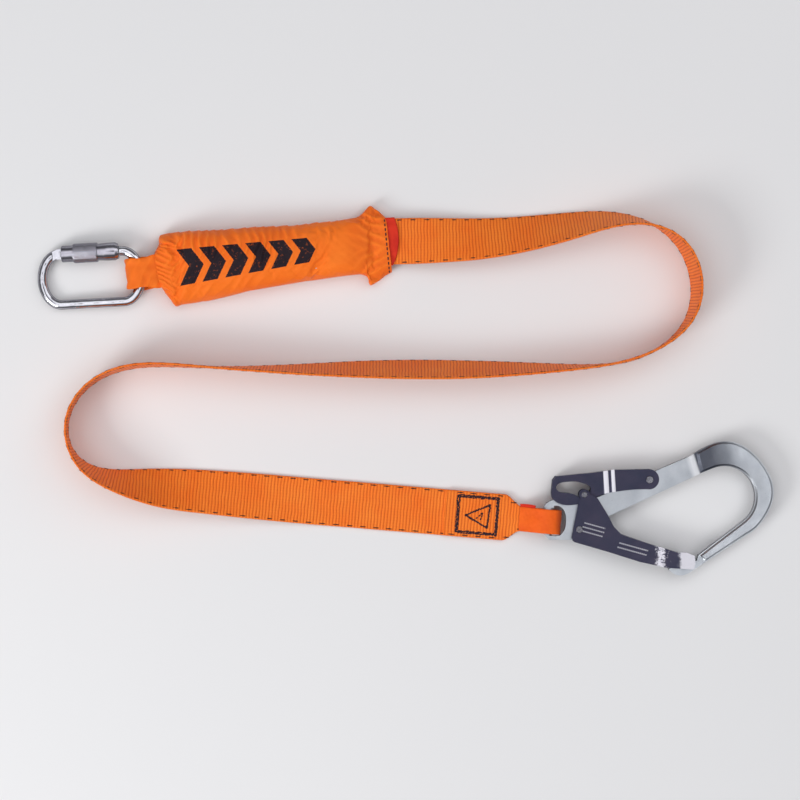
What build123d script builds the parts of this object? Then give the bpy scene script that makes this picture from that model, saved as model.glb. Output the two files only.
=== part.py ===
from build123d import *
import math
import os

# A webbing lanyard lying on the floor, which is the plane Z = 0 with Z up. A carabiner
# (around X -312, Y 112) holds a loop that enters a tear-webbing absorber pack running towards
# +X. The main webbing leaves the pack, turns twice over the floor and ends in a stitched loop
# in the eye of a flat-lying scaffold hook (X 136 to 366, Y -184 to -51). Sizes are in mm.

os.makedirs("parts", exist_ok=True)

# ---------------------------------------------------------------- shared sizes
WEB_W = 46.0            # main webbing width
WEB_T = 2.2             # main webbing thickness
SLEEVE_T = 1.0          # wall of the wear sleeves on the webbing loops
FLOOR_GAP = 0.05        # between the floor and the webbing
MID_Z = 12.5            # height of the hook's middle plane
RUN = 0.06              # radial running clearance of a pivot
THROUGH = 20.0          # half depth of a cut or slab that passes right through a part
REACH = 400.0           # half depth of an extruded side profile

hook_mid = Plane.XY.offset(MID_Z)


# ---------------------------------------------------------------- shared shapes
def rotated(point, centre, degrees):
    """A plan point turned anticlockwise about a centre."""
    angle = math.radians(degrees)
    dx, dy = point[0] - centre[0], point[1] - centre[1]
    return (centre[0] + dx * math.cos(angle) - dy * math.sin(angle),
            centre[1] + dx * math.sin(angle) + dy * math.cos(angle))


def facing_out(middle, distance, side):
    """Plane at a distance on one side (1 or -1) of a middle plane, facing away from it."""
    normal = middle.z_dir * side
    return Plane(origin=middle.origin + normal * distance, x_dir=middle.x_dir, z_dir=normal)


def headed_pin(middle, radius, half_length, head_radius, head_height, head_taper=0.0):
    """Pin centred on the middle plane's origin, with a head at each end."""
    with BuildPart() as pin:
        with BuildSketch(middle):
            Circle(radius)
        extrude(amount=half_length, both=True)
        for side in (1, -1):
            with BuildSketch(facing_out(middle, half_length, side)):
                Circle(head_radius)
            extrude(amount=head_height, taper=head_taper)
    return pin.part


def coil_spring(base, axis, pitch, height, coil_radius, wire_radius):
    with BuildPart() as spring:
        with BuildLine():
            coil = Helix(pitch=pitch, height=height, radius=coil_radius,
                         center=base, direction=axis)
        with BuildSketch(Plane(origin=coil @ 0, z_dir=coil % 0)):
            Circle(wire_radius)
        sweep(path=coil, is_frenet=True)
    return spring.part


# ---------------------------------------------------------------- main webbing
# Left edge of the webbing on the floor, from the absorber pack to the hook:
# X, Y, heading (deg), lean (deg) by which the right edge rises
WEB_PATH = [
    (-12.9, 171.2, 2.1, 0.0), (12.6, 171.6, 0.2, 5.5), (37.9, 171.5, -0.4, 14.4),
    (63.2, 171.3, 0.2, 22.0), (88.4, 171.8, 1.7, 29.5), (113.7, 173.1, 3.8, 36.9),
    (139.0, 175.1, 5.2, 44.4), (164.4, 177.2, 4.4, 52.4), (189.8, 178.5, -0.1, 61.3),
    (214.9, 176.6, -9.3, 71.2), (239.1, 169.8, -22.7, 81.5), (260.4, 156.8, -40.4, 91.0),
    (276.3, 137.5, -60.3, 97.5), (285.1, 113.4, -79.4, 99.2), (285.6, 88.0, -99.0, 97.5),
    (277.1, 64.9, -122.0, 93.5), (260.0, 46.4, -142.5, 89.8), (237.9, 33.9, -158.2, 88.3),
    (213.6, 27.2, -170.6, 89.4), (188.6, 25.0, -178.4, 92.6), (163.4, 25.2, -181.8, 96.9),
    (138.0, 26.2, -182.6, 101.6), (112.6, 27.3, -182.4, 105.9), (87.1, 28.3, -182.0, 109.6),
    (61.7, 29.0, -181.5, 112.2), (36.4, 29.6, -180.8, 113.7), (11.1, 29.8, -179.9, 113.9),
    (-14.1, 29.5, -178.9, 113.0), (-39.3, 28.8, -177.9, 110.9), (-64.6, 27.6, -177.1, 107.9),
    (-89.8, 26.2, -176.8, 104.4), (-115.1, 24.8, -177.0, 100.6), (-140.5, 23.8, -177.8, 96.9),
    (-165.8, 23.0, -179.1, 93.5), (-191.2, 22.9, -180.7, 90.6), (-216.6, 23.5, -181.7, 88.5),
    (-241.9, 24.0, -180.0, 87.2), (-267.0, 22.8, -173.2, 87.0), (-291.4, 17.2, -160.0, 87.8),
    (-313.6, 5.1, -142.1, 89.5), (-330.5, -14.4, -119.1, 91.6), (-337.2, -38.9, -90.7, 93.0),
    (-330.4, -61.9, -55.2, 90.6), (-311.7, -75.9, -20.5, 80.0), (-287.0, -79.6, -0.6, 63.4),
    (-260.9, -79.0, 1.6, 45.8), (-235.2, -78.8, -0.7, 32.5), (-209.9, -79.5, -2.5, 24.7),
    (-184.9, -80.9, -3.6, 19.5), (-159.9, -82.6, -4.2, 14.3), (-134.8, -84.5, -4.6, 9.0),
    (-109.6, -86.6, -4.7, 4.5), (-84.3, -88.8, -4.7, 1.4), (-58.9, -90.8, -4.7, 0.0),
    (-33.4, -92.9, -4.7, 0.0), (-7.9, -95.0, -4.7, 0.0), (17.2, -97.1, -4.8, 0.0),
    (41.9, -99.2, -5.1, 0.0),
]
# first and last station of each lofted span
LOFT_SPANS = [(0, 8), (8, 16), (16, 24), (24, 32), (32, 38), (38, 41), (41, 44), (44, 48), (48, 57)]
STATION_STEP = 25.3     # nominal distance between stations
PACK_LIFT = 8.0         # extra height of the webbing where it leaves the pack
LIFT_RUN = 140.0        # distance over which that height fades out

# Stitched hook end: `along` runs towards the hook, from the cut end of the fold-back
HOOK_END_YAW = math.radians(-4.8)
EYE_ALONG = 102.0       # distance to the eye rim
EYE_WEB_R = 7.6         # inside radius of the webbing round the eye rim
EYE_TURN_R = EYE_WEB_R + WEB_T / 2
EYE_HALF_W = 12.2       # half width of the webbing folded narrow for the eye
LOWER_Z = FLOOR_GAP + WEB_T / 2
UPPER_Z = FLOOR_GAP + 1.5 * WEB_T + 0.1
LOWER_LEG = [(62.0, LOWER_Z), (EYE_ALONG, MID_Z - EYE_TURN_R)]
UPPER_LEG = [(EYE_ALONG, MID_Z + EYE_TURN_R), (64.0, UPPER_Z)]

end_dir = Vector(math.cos(HOOK_END_YAW), math.sin(HOOK_END_YAW), 0)
end_side = Vector(end_dir.Y, -end_dir.X, 0)
end_origin = Vector(WEB_PATH[-1][0], WEB_PATH[-1][1], 0) + end_side * (WEB_W / 2)
end_plan = Plane(origin=end_origin, x_dir=end_dir, z_dir=(0, 0, 1))
end_wall = Plane(origin=end_origin, x_dir=end_dir, z_dir=end_side)  # local: along, height


def web_section(station):
    """Cross-section plane of the webbing: x across the width, z along the heading."""
    x, y, heading, lean = WEB_PATH[station]
    heading, lean = math.radians(heading), math.radians(lean)
    fade = max(0.0, 1 - station * STATION_STEP / LIFT_RUN)
    gap = 0.3 if station < 9 else FLOOR_GAP
    z = PACK_LIFT * fade * fade * (3 - 2 * fade) + gap + WEB_T / 2 * abs(math.cos(lean))
    across = Vector(math.sin(heading) * math.cos(lean),
                    -math.cos(heading) * math.cos(lean), math.sin(lean))
    return Plane(origin=Vector(x, y, z) + across * (WEB_W / 2), x_dir=across,
                 z_dir=Vector(math.cos(heading), math.sin(heading), 0))


def web_span(first, last):
    with BuildPart() as span:
        for station in range(first, last + 1):
            with BuildSketch(web_section(station)):
                Rectangle(WEB_W, WEB_T)
        loft()
    return span.part


def main_webbing():
    with BuildPart() as webbing:
        # fold-back: lower layer, turn through the eye, upper layer
        with BuildSketch(end_wall):
            with BuildLine():
                Line((-1.0, LOWER_Z), LOWER_LEG[0])
                Spline(*LOWER_LEG, tangents=[(1, 0), (1, 0)])
                ThreePointArc(LOWER_LEG[1], (EYE_ALONG + EYE_TURN_R, MID_Z), UPPER_LEG[0])
                Spline(*UPPER_LEG, tangents=[(-1, 0), (-1, 0)])
                Line(UPPER_LEG[1], (0.0, UPPER_Z))
            trace(line_width=WEB_T)
        extrude(amount=WEB_W, both=True)
        # plan shape: full width, narrowing towards the eye
        with BuildSketch(end_plan):
            Polygon((-40, -WEB_W / 2), (60, -WEB_W / 2), (76, -EYE_HALF_W), (130, -EYE_HALF_W),
                    (130, EYE_HALF_W), (76, EYE_HALF_W), (60, WEB_W / 2), (-40, WEB_W / 2),
                    align=None)
        extrude(amount=60, both=True, mode=Mode.INTERSECT)
        # twisted run over the floor
        for first, last in LOFT_SPANS:
            add(web_span(first, last))
        # straight end inside the absorber pack
        with BuildSketch(web_section(0)):
            Rectangle(WEB_W, WEB_T)
        extrude(amount=-50)
    return webbing.part


def beside(edge, fraction, distance):
    """Point at a distance to the right of an edge, at a fraction of its length."""
    point, heading = edge @ fraction, (edge % fraction).normalized()
    return (point.X + heading.Y * distance, point.Y - heading.X * distance)


def hook_loop_sleeve():
    """Wear sleeve: one band on the outside of the webbing turn through the eye."""
    stand_off = WEB_T / 2 + 0.15 + SLEEVE_T / 2
    radius = EYE_TURN_R + stand_off
    with BuildLine() as lower:
        Spline(*LOWER_LEG, tangents=[(1, 0), (1, 0)])
    with BuildLine() as upper:
        Spline(*UPPER_LEG, tangents=[(-1, 0), (-1, 0)])
    lower_edge, upper_edge = lower.line.edge(), upper.line.edge()
    lower_points = [beside(lower_edge, t, stand_off) for t in (0.78, 0.86, 0.93, 1.0)]
    upper_points = [beside(upper_edge, t, stand_off)
                    for t in (0.0, 0.09, 0.18, 0.27, 0.36, 0.45, 0.53, 0.6)]
    with BuildPart() as sleeve:
        with BuildSketch(end_wall):
            with BuildLine():
                Spline(*lower_points)
                ThreePointArc((EYE_ALONG, MID_Z - radius), (EYE_ALONG + radius, MID_Z),
                              (EYE_ALONG, MID_Z + radius))
                Spline(*upper_points)
            trace(line_width=SLEEVE_T)
        extrude(amount=EYE_HALF_W + 0.1, both=True)
    return sleeve.part


def hook_loop_liner():
    """Liner tongue just outside the sleeve, on the upper leg."""
    with BuildPart() as liner:
        with BuildSketch(end_plan.offset(9)):
            with Locations((82.5, 13.8)):
                Rectangle(14, 1.4)
        extrude(amount=4)
    return liner.part


def hook_box_stitching():
    """A rectangle with a triangle in it, lying on the upper layer."""
    thread_width = 1.1
    with BuildPart() as stitching:
        with BuildSketch(end_plan.offset(UPPER_Z + WEB_T / 2 + 0.02)):
            with BuildLine():
                Polyline((12, -18.5), (53, -18.5), (53, 18.5), (12, 18.5), close=True)
            trace(line_width=thread_width)
            with BuildLine():
                Polyline((20, 0), (45, 12), (45, -12), close=True)
            trace(line_width=thread_width)
        extrude(amount=0.5)
    return stitching.part


# ---------------------------------------------------------------- scaffold hook
# Distances ending in _IN, _OUT, BODY or SEAT are measured from the middle plane.
HOOK_BODY = 6.5         # half thickness of the forged body
BOW_BODY = 8.0          # half thickness of the bevelled bow
BOW_CENTRE = (317.7, -106.2)
BOW_R = 30.7            # inner radius of the bow
BEVEL = 2.3             # width of the bow's inner bevel
GATE_T = 1.7            # gate cheek thickness
GATE_IN = 9.3
GATE_OUT = GATE_IN + GATE_T
TIP_IN = 10.4           # flared gate tip
LEVER_T = 1.5           # lever cheek thickness
LEVER_IN = 7.1
LEVER_OUT = LEVER_IN + LEVER_T
LEVER_SEAT = 4.2        # floor of the lever spring's seat
RIVET_R = 2.6           # gate rivet
PIN_R = 2.3             # lock pin and lever rivet
HOOK_WIRE_R = 0.5       # wire radius of the hook's springs
GATE_PIVOT = (173.2, -138.4)
LOCK_PIN = (178.2, -103.8)
LEVER_PIVOT = (243.2, -89.1)

# X, Y of the bow's outer edge, and of the crest of its raised pad
BOW_RIM = [
    (305.5, -53.9), (318.2, -51.1), (332.5, -53.9), (348.3, -65.0), (359.4, -79.3),
    (365.8, -95.1), (365.8, -107.9), (359.4, -123.7), (353.0, -133.1), (338.8, -144.2),
]
BOW_CREST = [
    (305.5, -55.9), (318.2, -53.4), (331.7, -56.0), (346.7, -66.5), (357.4, -80.2),
    (363.5, -95.5), (363.5, -107.3), (357.4, -122.5), (351.4, -131.3), (337.6, -142.2),
]
# the pad's foot lies a fifth of the way from the rim to the crest
BOW_FOOT = [(rim[0] + 0.2 * (crest[0] - rim[0]), rim[1] + 0.2 * (crest[1] - rim[1]))
            for rim, crest in zip(BOW_RIM, BOW_CREST)]
# X, Y of the pad's corners: two after the outer edge, two after the inner arc
FOOT_CORNERS = ((298.0, -170.4), (293.4, -164.0), (292.9, -82.3), (289.6, -63.2))
CREST_CORNERS = ((299.4, -167.4), (295.4, -164.9), (296.4, -79.2), (292.4, -63.0))

# X, Y outline of a gate cheek
GATE_CHEEK = [
    (172.8, -109.1), (167.4, -135.9), (165.3, -146.8), (167.9, -150.8), (200.6, -160.3),
    (233.4, -170.6), (259.9, -176.4), (286.7, -178.0), (288.3, -171.6), (287.5, -164.5),
    (279.6, -161.3), (271.0, -161.3), (258.2, -157.3), (244.9, -153.4), (215.0, -143.3),
    (207.5, -135.7), (202.1, -125.1), (191.5, -107.6), (184.1, -103.6),
]
# X, Y of the gate web's tip end, up one face and back along the other
GATE_WEB_TIP = [
    (258.2, -157.3), (271.0, -161.3), (279.6, -161.3), (287.5, -164.5),
    (287.8, -166.5), (279.0, -163.4), (270.6, -163.4), (257.6, -159.4),
]
# X, distance of the cheek's inner face from the middle plane
GATE_JOGGLE = [(155.2, GATE_IN), (251.2, GATE_IN), (257.2, TIP_IN), (295.2, TIP_IN)]
LEVER_JOGGLE = [
    (135.2, LEVER_IN + 0.4), (197.2, LEVER_IN + 0.4), (200.7, LEVER_IN + 0.05),
    (204.7, LEVER_IN + 0.05), (207.7, LEVER_IN - 0.3), (265.2, LEVER_IN - 0.3),
]


def mid_plane_at(centre):
    return Plane(origin=(*centre, MID_Z))


def bow_arc(radius):
    """Start, middle and end of the bow's inner arc, anticlockwise."""
    angles = [math.radians(degrees) for degrees in (-53, 30, 111)]
    return [(BOW_CENTRE[0] + radius * math.cos(angle), BOW_CENTRE[1] + radius * math.sin(angle))
            for angle in angles]


def bow_pad(side):
    """Bevelled pad of the bow: a foot just inside the body's face, a smaller crest above it."""
    levels = (
        (HOOK_BODY - 0.1, BOW_FOOT, BOW_R + 0.45, FOOT_CORNERS),
        (BOW_BODY, BOW_CREST, BOW_R + BEVEL, CREST_CORNERS),
    )
    with BuildPart() as pad:
        for level, outer, radius, corners in levels:
            arc = bow_arc(radius)
            with BuildSketch(Plane.XY.offset(MID_Z + side * level)):
                with BuildLine():
                    Line(corners[3], outer[0])
                    Spline(*outer)
                    Line(outer[-1], corners[0])
                    Line(corners[0], corners[1])
                    Line(corners[1], arc[0])
                    ThreePointArc(*arc)
                    Line(arc[-1], corners[2])
                    Line(corners[2], corners[3])
                make_face()
        loft(ruled=True)
    return pad.part


def eye_rim_cut():
    """What is removed round the eye rim to leave it rounded where the webbing turns."""
    with BuildPart() as cut:
        with BuildSketch(end_wall):
            with Locations((EYE_ALONG - 1, MID_Z)):
                Rectangle(22, 40)
            with Locations((EYE_ALONG, MID_Z)):
                Circle(6.9, mode=Mode.SUBTRACT)
        extrude(amount=13.9, both=True)
    return cut.part


def hook_body():
    arc = bow_arc(BOW_R)
    with BuildPart() as body:
        with BuildSketch(hook_mid):
            with BuildLine():
                Spline((138.1, -143.3), (136.1, -129.4), (140.6, -112.9), (147.6, -109.3))
                Spline((147.6, -109.3), (152.6, -109.6), (157.5, -112.0), (164.5, -110.2),
                       (174.5, -109.1), (182.4, -109.7))
                Polyline((182.4, -109.7), (194.0, -105.7), (246.1, -81.7), (283.4, -65.8))
                Spline((283.4, -65.8), *BOW_RIM)
                Line(BOW_RIM[-1], (288.3, -177.7))
                Spline((288.3, -177.7), (281.7, -182.1), (274.7, -184.2), (267.2, -182.5),
                       (262.3, -178.3))
                Polyline((262.3, -178.3), (264.8, -174.8), (290.1, -169.8), (292.0, -164.1))
                Line((292.0, -164.1), arc[0])
                ThreePointArc(*arc)
                Polyline(arc[-1], (294.4, -82.4), (286.4, -86.4), (258.6, -99.3),
                         (202.5, -125.3), (192.0, -130.6), (185.1, -141.1), (178.5, -148.1),
                         (165.5, -148.9), (143.6, -148.9), (138.1, -143.3))
            make_face()
        extrude(amount=HOOK_BODY, both=True)
        for side in (1, -1):
            add(bow_pad(side))
        # eye opening for the webbing turn
        with BuildSketch(hook_mid):
            with BuildLine():
                Polyline((148.2, -115.0), (152.6, -115.0))
                Spline((152.6, -115.0), (158.1, -119.4), (160.3, -129.4), (158.1, -139.9),
                       (153.6, -144.7))
                Polyline((153.6, -144.7), (145.8, -144.7), (148.2, -115.0))
            make_face()
        extrude(amount=THROUGH, both=True, mode=Mode.SUBTRACT)
        add(eye_rim_cut(), mode=Mode.SUBTRACT)
        # pivot bores
        with BuildSketch(hook_mid):
            with Locations(GATE_PIVOT):
                Circle(RIVET_R + RUN)
            with Locations(LEVER_PIVOT):
                Circle(PIN_R + RUN)
        extrude(amount=THROUGH, both=True, mode=Mode.SUBTRACT)
        # milled seat for the lever spring
        with BuildSketch(hook_mid.offset(LEVER_SEAT)):
            with Locations(LEVER_PIVOT):
                Circle(7.6)
        extrude(amount=10, mode=Mode.SUBTRACT)
        # clearance for the lock pin as the gate swings
        for step in range(15):
            with BuildSketch(hook_mid):
                with Locations(rotated(LOCK_PIN, GATE_PIVOT, step * 2.2 - 1)):
                    Circle(PIN_R + 0.7)
            extrude(amount=THROUGH, both=True, mode=Mode.SUBTRACT)
    return body.part


def cheek_bands(joggle, thickness):
    """Draw the side profiles of both cheeks, mirrored about the middle plane."""
    faces = joggle + [(x, distance + thickness) for x, distance in reversed(joggle)]
    for side in (1, -1):
        Polygon(*[(x, MID_Z + side * distance) for x, distance in faces], align=None)


def hook_gate():
    """Two joggled cheeks joined by a web along the edge facing the body."""
    webs = (
        ([(218.0, -144.4), (244.9, -153.4)], [(244.3, -155.5), (217.5, -146.5)], GATE_IN + 0.4),
        ([(255.2, -156.5)], [(254.7, -158.5)], TIP_IN + 0.4),
    )
    with BuildPart() as gate:
        with BuildSketch(hook_mid):
            Polygon(*GATE_CHEEK, align=None)
            with Locations(LOCK_PIN):
                Circle(5.3)
        extrude(amount=THROUGH, both=True)
        with BuildSketch(Plane.XZ):
            cheek_bands(GATE_JOGGLE, GATE_T)
        extrude(amount=REACH, both=True, mode=Mode.INTERSECT)
        # web, wider at the flared tip
        for root_start, root_end, half_width in webs:
            with BuildSketch(hook_mid):
                Polygon(*root_start, *GATE_WEB_TIP, *root_end, align=None)
            extrude(amount=half_width, both=True)
        with BuildSketch(hook_mid):
            with Locations(GATE_PIVOT):
                Circle(RIVET_R + RUN)
            with Locations(LOCK_PIN):
                Circle(PIN_R)
        extrude(amount=THROUGH, both=True, mode=Mode.SUBTRACT)
    return gate.part


def hook_lock_lever():
    """Two joggled cheeks joined by a web along the edge away from the gate."""
    with BuildPart() as lever:
        with BuildSketch(hook_mid):
            with BuildLine():
                Polyline((146.7, -89.5), (149.7, -85.6), (187.8, -81.8), (207.5, -79.1),
                         (240.9, -78.7))
                ThreePointArc((240.9, -78.7), (252.5, -87.9), (243.9, -98.6))
                Spline((243.9, -98.6), (227.5, -98.8), (209.0, -101.0), (192.3, -105.5),
                       (183.8, -110.7), (172.6, -113.3), (155.0, -113.3), (146.8, -107.6),
                       (146.0, -97.8), (146.7, -89.5))
            make_face()
        extrude(amount=THROUGH, both=True)
        with BuildSketch(Plane.XZ):
            cheek_bands(LEVER_JOGGLE, LEVER_T)
        extrude(amount=REACH, both=True, mode=Mode.INTERSECT)
        # web
        with BuildSketch(hook_mid):
            Polygon((150.6, -85.5), (187.8, -81.8), (207.5, -79.1), (229.5, -78.9),
                    (229.5, -80.6), (207.6, -80.8), (188.0, -83.5), (150.9, -87.2), align=None)
        extrude(amount=LEVER_IN, both=True)
        # curved slot with the locking notch
        with BuildSketch(hook_mid):
            with BuildLine():
                Spline((150.0, -96.8), (152.0, -93.4), (159.0, -91.4), (169.5, -90.9),
                       (178.8, -93.2), (184.7, -97.4), (183.4, -102.2), (182.2, -105.9),
                       (178.2, -108.0), (174.5, -107.1), (168.9, -104.1), (161.0, -102.2),
                       (153.6, -101.1), (150.0, -96.8))
            make_face()
        extrude(amount=THROUGH, both=True, mode=Mode.SUBTRACT)
        with BuildSketch(hook_mid):
            with Locations(LEVER_PIVOT):
                Circle(PIN_R + RUN)
        extrude(amount=THROUGH, both=True, mode=Mode.SUBTRACT)
    return lever.part


def hook_gate_rivet():
    return headed_pin(mid_plane_at(GATE_PIVOT), RIVET_R, half_length=GATE_OUT + 0.05,
                      head_radius=3.6, head_height=1.0, head_taper=28)


def hook_lock_pin():
    return headed_pin(mid_plane_at(LOCK_PIN), PIN_R, half_length=GATE_OUT,
                      head_radius=3.1, head_height=0.9, head_taper=25)


def hook_lever_rivet():
    return headed_pin(mid_plane_at(LEVER_PIVOT), PIN_R, half_length=LEVER_OUT - 0.25,
                      head_radius=3.9, head_height=1.1, head_taper=25)


def hook_gate_spacers():
    """A ring on each side, between the body and the gate cheek."""
    gap = 0.05
    with BuildPart() as spacers:
        for side in (1, -1):
            with BuildSketch(facing_out(mid_plane_at(GATE_PIVOT), HOOK_BODY + gap, side)):
                Circle(5.2)
                Circle(RIVET_R + 0.12, mode=Mode.SUBTRACT)
            extrude(amount=GATE_IN - HOOK_BODY - 2 * gap)
    return spacers.part


def hook_spring(centre, height_above_mid, coil_radius):
    """One turn of wire round a hook pivot."""
    return coil_spring((*centre, MID_Z + height_above_mid), (0, 0, 1), pitch=1.12, height=1.12,
                       coil_radius=coil_radius, wire_radius=HOOK_WIRE_R)


def hook_gate_spring():
    return hook_spring(GATE_PIVOT, HOOK_BODY + 0.75, coil_radius=6.1)


def hook_lever_spring():
    return hook_spring(LEVER_PIVOT, LEVER_SEAT + 0.65, coil_radius=5.0)


# ---------------------------------------------------------------- carabiner
BAR_R = 9.5 / 2
OVAL_X, OVAL_Y = 49.55, 25.25       # half axes of the oval bar's centre line
STRAIGHT = 31.5                     # half length of the straight sides
YAW, PITCH, ROLL = math.radians(3.0), math.radians(3.5), math.radians(4.5)
HINGE_X = -STRAIGHT
KNUCKLE_R = 5.0
HINGE_BORE_R = 2.2
STOP_PIN_X = -4.0
STOP_PIN_R = 1.2
GATE_SHARE = 0.2                    # gate travel per degree of sleeve twist

# The carabiner lies tilted: long_dir along the oval, wide_dir across it towards the gate
long_dir = Vector(math.cos(YAW) * math.cos(PITCH), math.sin(YAW) * math.cos(PITCH),
                  math.sin(PITCH))
level_dir = Vector(-math.sin(YAW), math.cos(YAW), 0)
wide_dir = level_dir * math.cos(ROLL) + long_dir.cross(level_dir) * math.sin(ROLL)
oval_plane = Plane(origin=(-312.2, 111.85, 9.0), x_dir=long_dir, z_dir=long_dir.cross(wide_dir))
gate_origin = oval_plane.from_local_coords(Vector(0, OVAL_Y, 0))
gate_end = Plane(origin=gate_origin, x_dir=wide_dir, z_dir=long_dir)


def turned_flat(degrees):
    """Plane holding the gate's axis, turned from the oval's plane about that axis."""
    angle = math.radians(degrees)
    return Plane(origin=gate_origin, x_dir=long_dir,
                 z_dir=oval_plane.z_dir * math.cos(angle) - wide_dir * math.sin(angle))


gate_flat = turned_flat(0)
hinge_flat = Plane(origin=gate_origin + long_dir * HINGE_X, x_dir=long_dir,
                   z_dir=oval_plane.z_dir)


def stop_pin_plane(outward):
    """Plane across the stop pin, at a distance outward from the gate's axis."""
    return Plane(origin=gate_origin + long_dir * STOP_PIN_X + wide_dir * outward,
                 x_dir=long_dir, z_dir=wide_dir)


def carabiner_body():
    with BuildPart() as body:
        with BuildLine(oval_plane) as oval:
            EllipticalCenterArc((-STRAIGHT, 0), OVAL_X - STRAIGHT, OVAL_Y,
                                start_angle=90, arc_size=180)
            Line((-STRAIGHT, -OVAL_Y), (STRAIGHT, -OVAL_Y))
            EllipticalCenterArc((STRAIGHT, 0), OVAL_X - STRAIGHT, OVAL_Y,
                                start_angle=270, arc_size=180)
        path = oval.wire()
        with BuildSketch(Plane(origin=path @ 0, z_dir=path % 0)):
            Circle(BAR_R)
        sweep(path=path)
        # square-cut nose end
        with BuildSketch(gate_end.offset(30.0)):
            Circle(BAR_R)
        extrude(amount=STRAIGHT - 30.0)
        # hinge tongue
        with BuildSketch(hinge_flat):
            Circle(KNUCKLE_R)
        extrude(amount=2.4, both=True)
        for side in (1, -1):
            with BuildSketch(gate_flat.offset(side * 2.4)):
                with Locations((HINGE_X + 3.2, -3)):
                    Rectangle(19.2, 24)
            extrude(amount=side * 8, mode=Mode.SUBTRACT)
        with BuildSketch(hinge_flat):
            Circle(HINGE_BORE_R)
        extrude(amount=10, both=True, mode=Mode.SUBTRACT)
        # nose blade, then its cross head
        for centre_x, length, half_thickness in ((25.5, 10, 1.2), (22.0, 3, 2.0)):
            with BuildSketch(gate_flat):
                with Locations((centre_x, 0)):
                    Rectangle(length, 6)
            extrude(amount=half_thickness, both=True)
    return body.part


def carabiner_gate():
    knuckle_end = -24.4
    with BuildPart() as gate:
        with BuildSketch(gate_end.offset(-24.5)):
            Circle(5.5)
        extrude(amount=53.5)
        # hinge fork
        with BuildSketch(gate_flat):
            with Locations((HINGE_X, 0)):
                Circle(KNUCKLE_R)
            with Locations(((HINGE_X + knuckle_end) / 2, 0)):
                Rectangle(knuckle_end - HINGE_X, 2 * KNUCKLE_R)
        extrude(amount=4.0, both=True)
        with BuildSketch(gate_flat):
            with Locations((-33, 0)):
                Rectangle(14.4, 14)
        extrude(amount=2.6, both=True, mode=Mode.SUBTRACT)
        with BuildSketch(hinge_flat):
            Circle(HINGE_BORE_R)
        extrude(amount=10, both=True, mode=Mode.SUBTRACT)
        # slot for the nose blade and its head, open to the outside
        for centre_x, length, half_thickness in ((25.0, 10.4, 1.6), (21.9, 4.2, 2.4)):
            with BuildSketch(gate_flat):
                with Locations((centre_x, 4.2)):
                    Rectangle(length, 15.6)
            extrude(amount=half_thickness, both=True, mode=Mode.SUBTRACT)
        # bore for plunger and spring
        with BuildSketch(gate_end.offset(-26)):
            Circle(1.9)
        extrude(amount=18, mode=Mode.SUBTRACT)
        # bore for the stop pin
        with BuildSketch(stop_pin_plane(0)):
            Circle(STOP_PIN_R)
        extrude(amount=10, mode=Mode.SUBTRACT)
    return gate.part


def carabiner_gate_rivet():
    return headed_pin(hinge_flat, HINGE_BORE_R - RUN, half_length=4.05,
                      head_radius=3.2, head_height=0.9)


def carabiner_plunger():
    with BuildPart() as plunger:
        with BuildSketch(gate_end.offset(-26.4)):
            Circle(1.8)
        extrude(amount=5.2)
    return plunger.part


def carabiner_gate_spring():
    return coil_spring(gate_origin + long_dir * -20.6, long_dir, pitch=1.5, height=10.5,
                       coil_radius=1.35, wire_radius=0.3)


def carabiner_lock_sleeve():
    # release slot cutters for the nose blade and its head: half thickness, first x, last x
    cutters = ((1.65, 20.5, 31.0), (2.45, 20.3, 23.8))
    half_width = 3.35
    with BuildPart() as sleeve:
        # wall section: distance along the gate, radius
        with BuildSketch(gate_flat):
            with BuildLine():
                Polyline((-28.3, 6.6), (-28.3, 7.7), (-27.7, 8.3), (-16.6, 8.3), (-16.4, 9.3),
                         (7.8, 9.3), (8.2, 8.3), (9.5, 8.4), (18, 9.0), (25.2, 9.0),
                         (28.6, 7.4), (28.6, 5.56), (-14.4, 5.56), (-14.4, 6.6), close=True)
            make_face()
        revolve(axis=Axis(gate_origin, long_dir))
        # internal groove for the stop pin
        with BuildSketch(turned_flat(13)):
            with Locations((STOP_PIN_X, 6.2)):
                Rectangle(2.8, 2.4)
        revolve(axis=Axis(gate_origin, long_dir * -1), revolution_arc=126, mode=Mode.SUBTRACT)
        # helical release slot: path of the nose blade as the sleeve turns and the gate swings
        for step in range(4, 33):
            twist = step * 2.5
            slot_plane = turned_flat(-twist)
            for half_thickness, x0, x1 in cutters:
                corners = [(x0, -half_width), (x1, -half_width), (x1, half_width),
                           (x0, half_width)]
                swung = [rotated(corner, (HINGE_X, 0), GATE_SHARE * twist) for corner in corners]
                with BuildSketch(slot_plane):
                    Polygon(*swung, align=None)
                extrude(amount=half_thickness, both=True, mode=Mode.SUBTRACT)
    return sleeve.part


def carabiner_sleeve_spring():
    return coil_spring(gate_origin + long_dir * -23.2, long_dir, pitch=1.7, height=7.0,
                       coil_radius=6.05, wire_radius=0.4)


def carabiner_stop_pin():
    with BuildPart() as pin:
        with BuildSketch(stop_pin_plane(0.1)):
            Circle(STOP_PIN_R)
        extrude(amount=6.8)
    return pin.part


# ---------------------------------------------------------------- absorber pack
# pack_wall is the pack's upright long section: local x along the pack, local y the height.
PACK_YAW = math.radians(6.0)
LOOP_Z = 12.05                      # centre height of the loop round the carabiner
LOOP_MID_R = 8.5 + WEB_T / 2        # inside radius plus half the webbing
LEG_END = 44                        # where the loop's legs become straight
LOOP_LOWER_Z, LOOP_UPPER_Z = 9.4, 14.7

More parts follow.
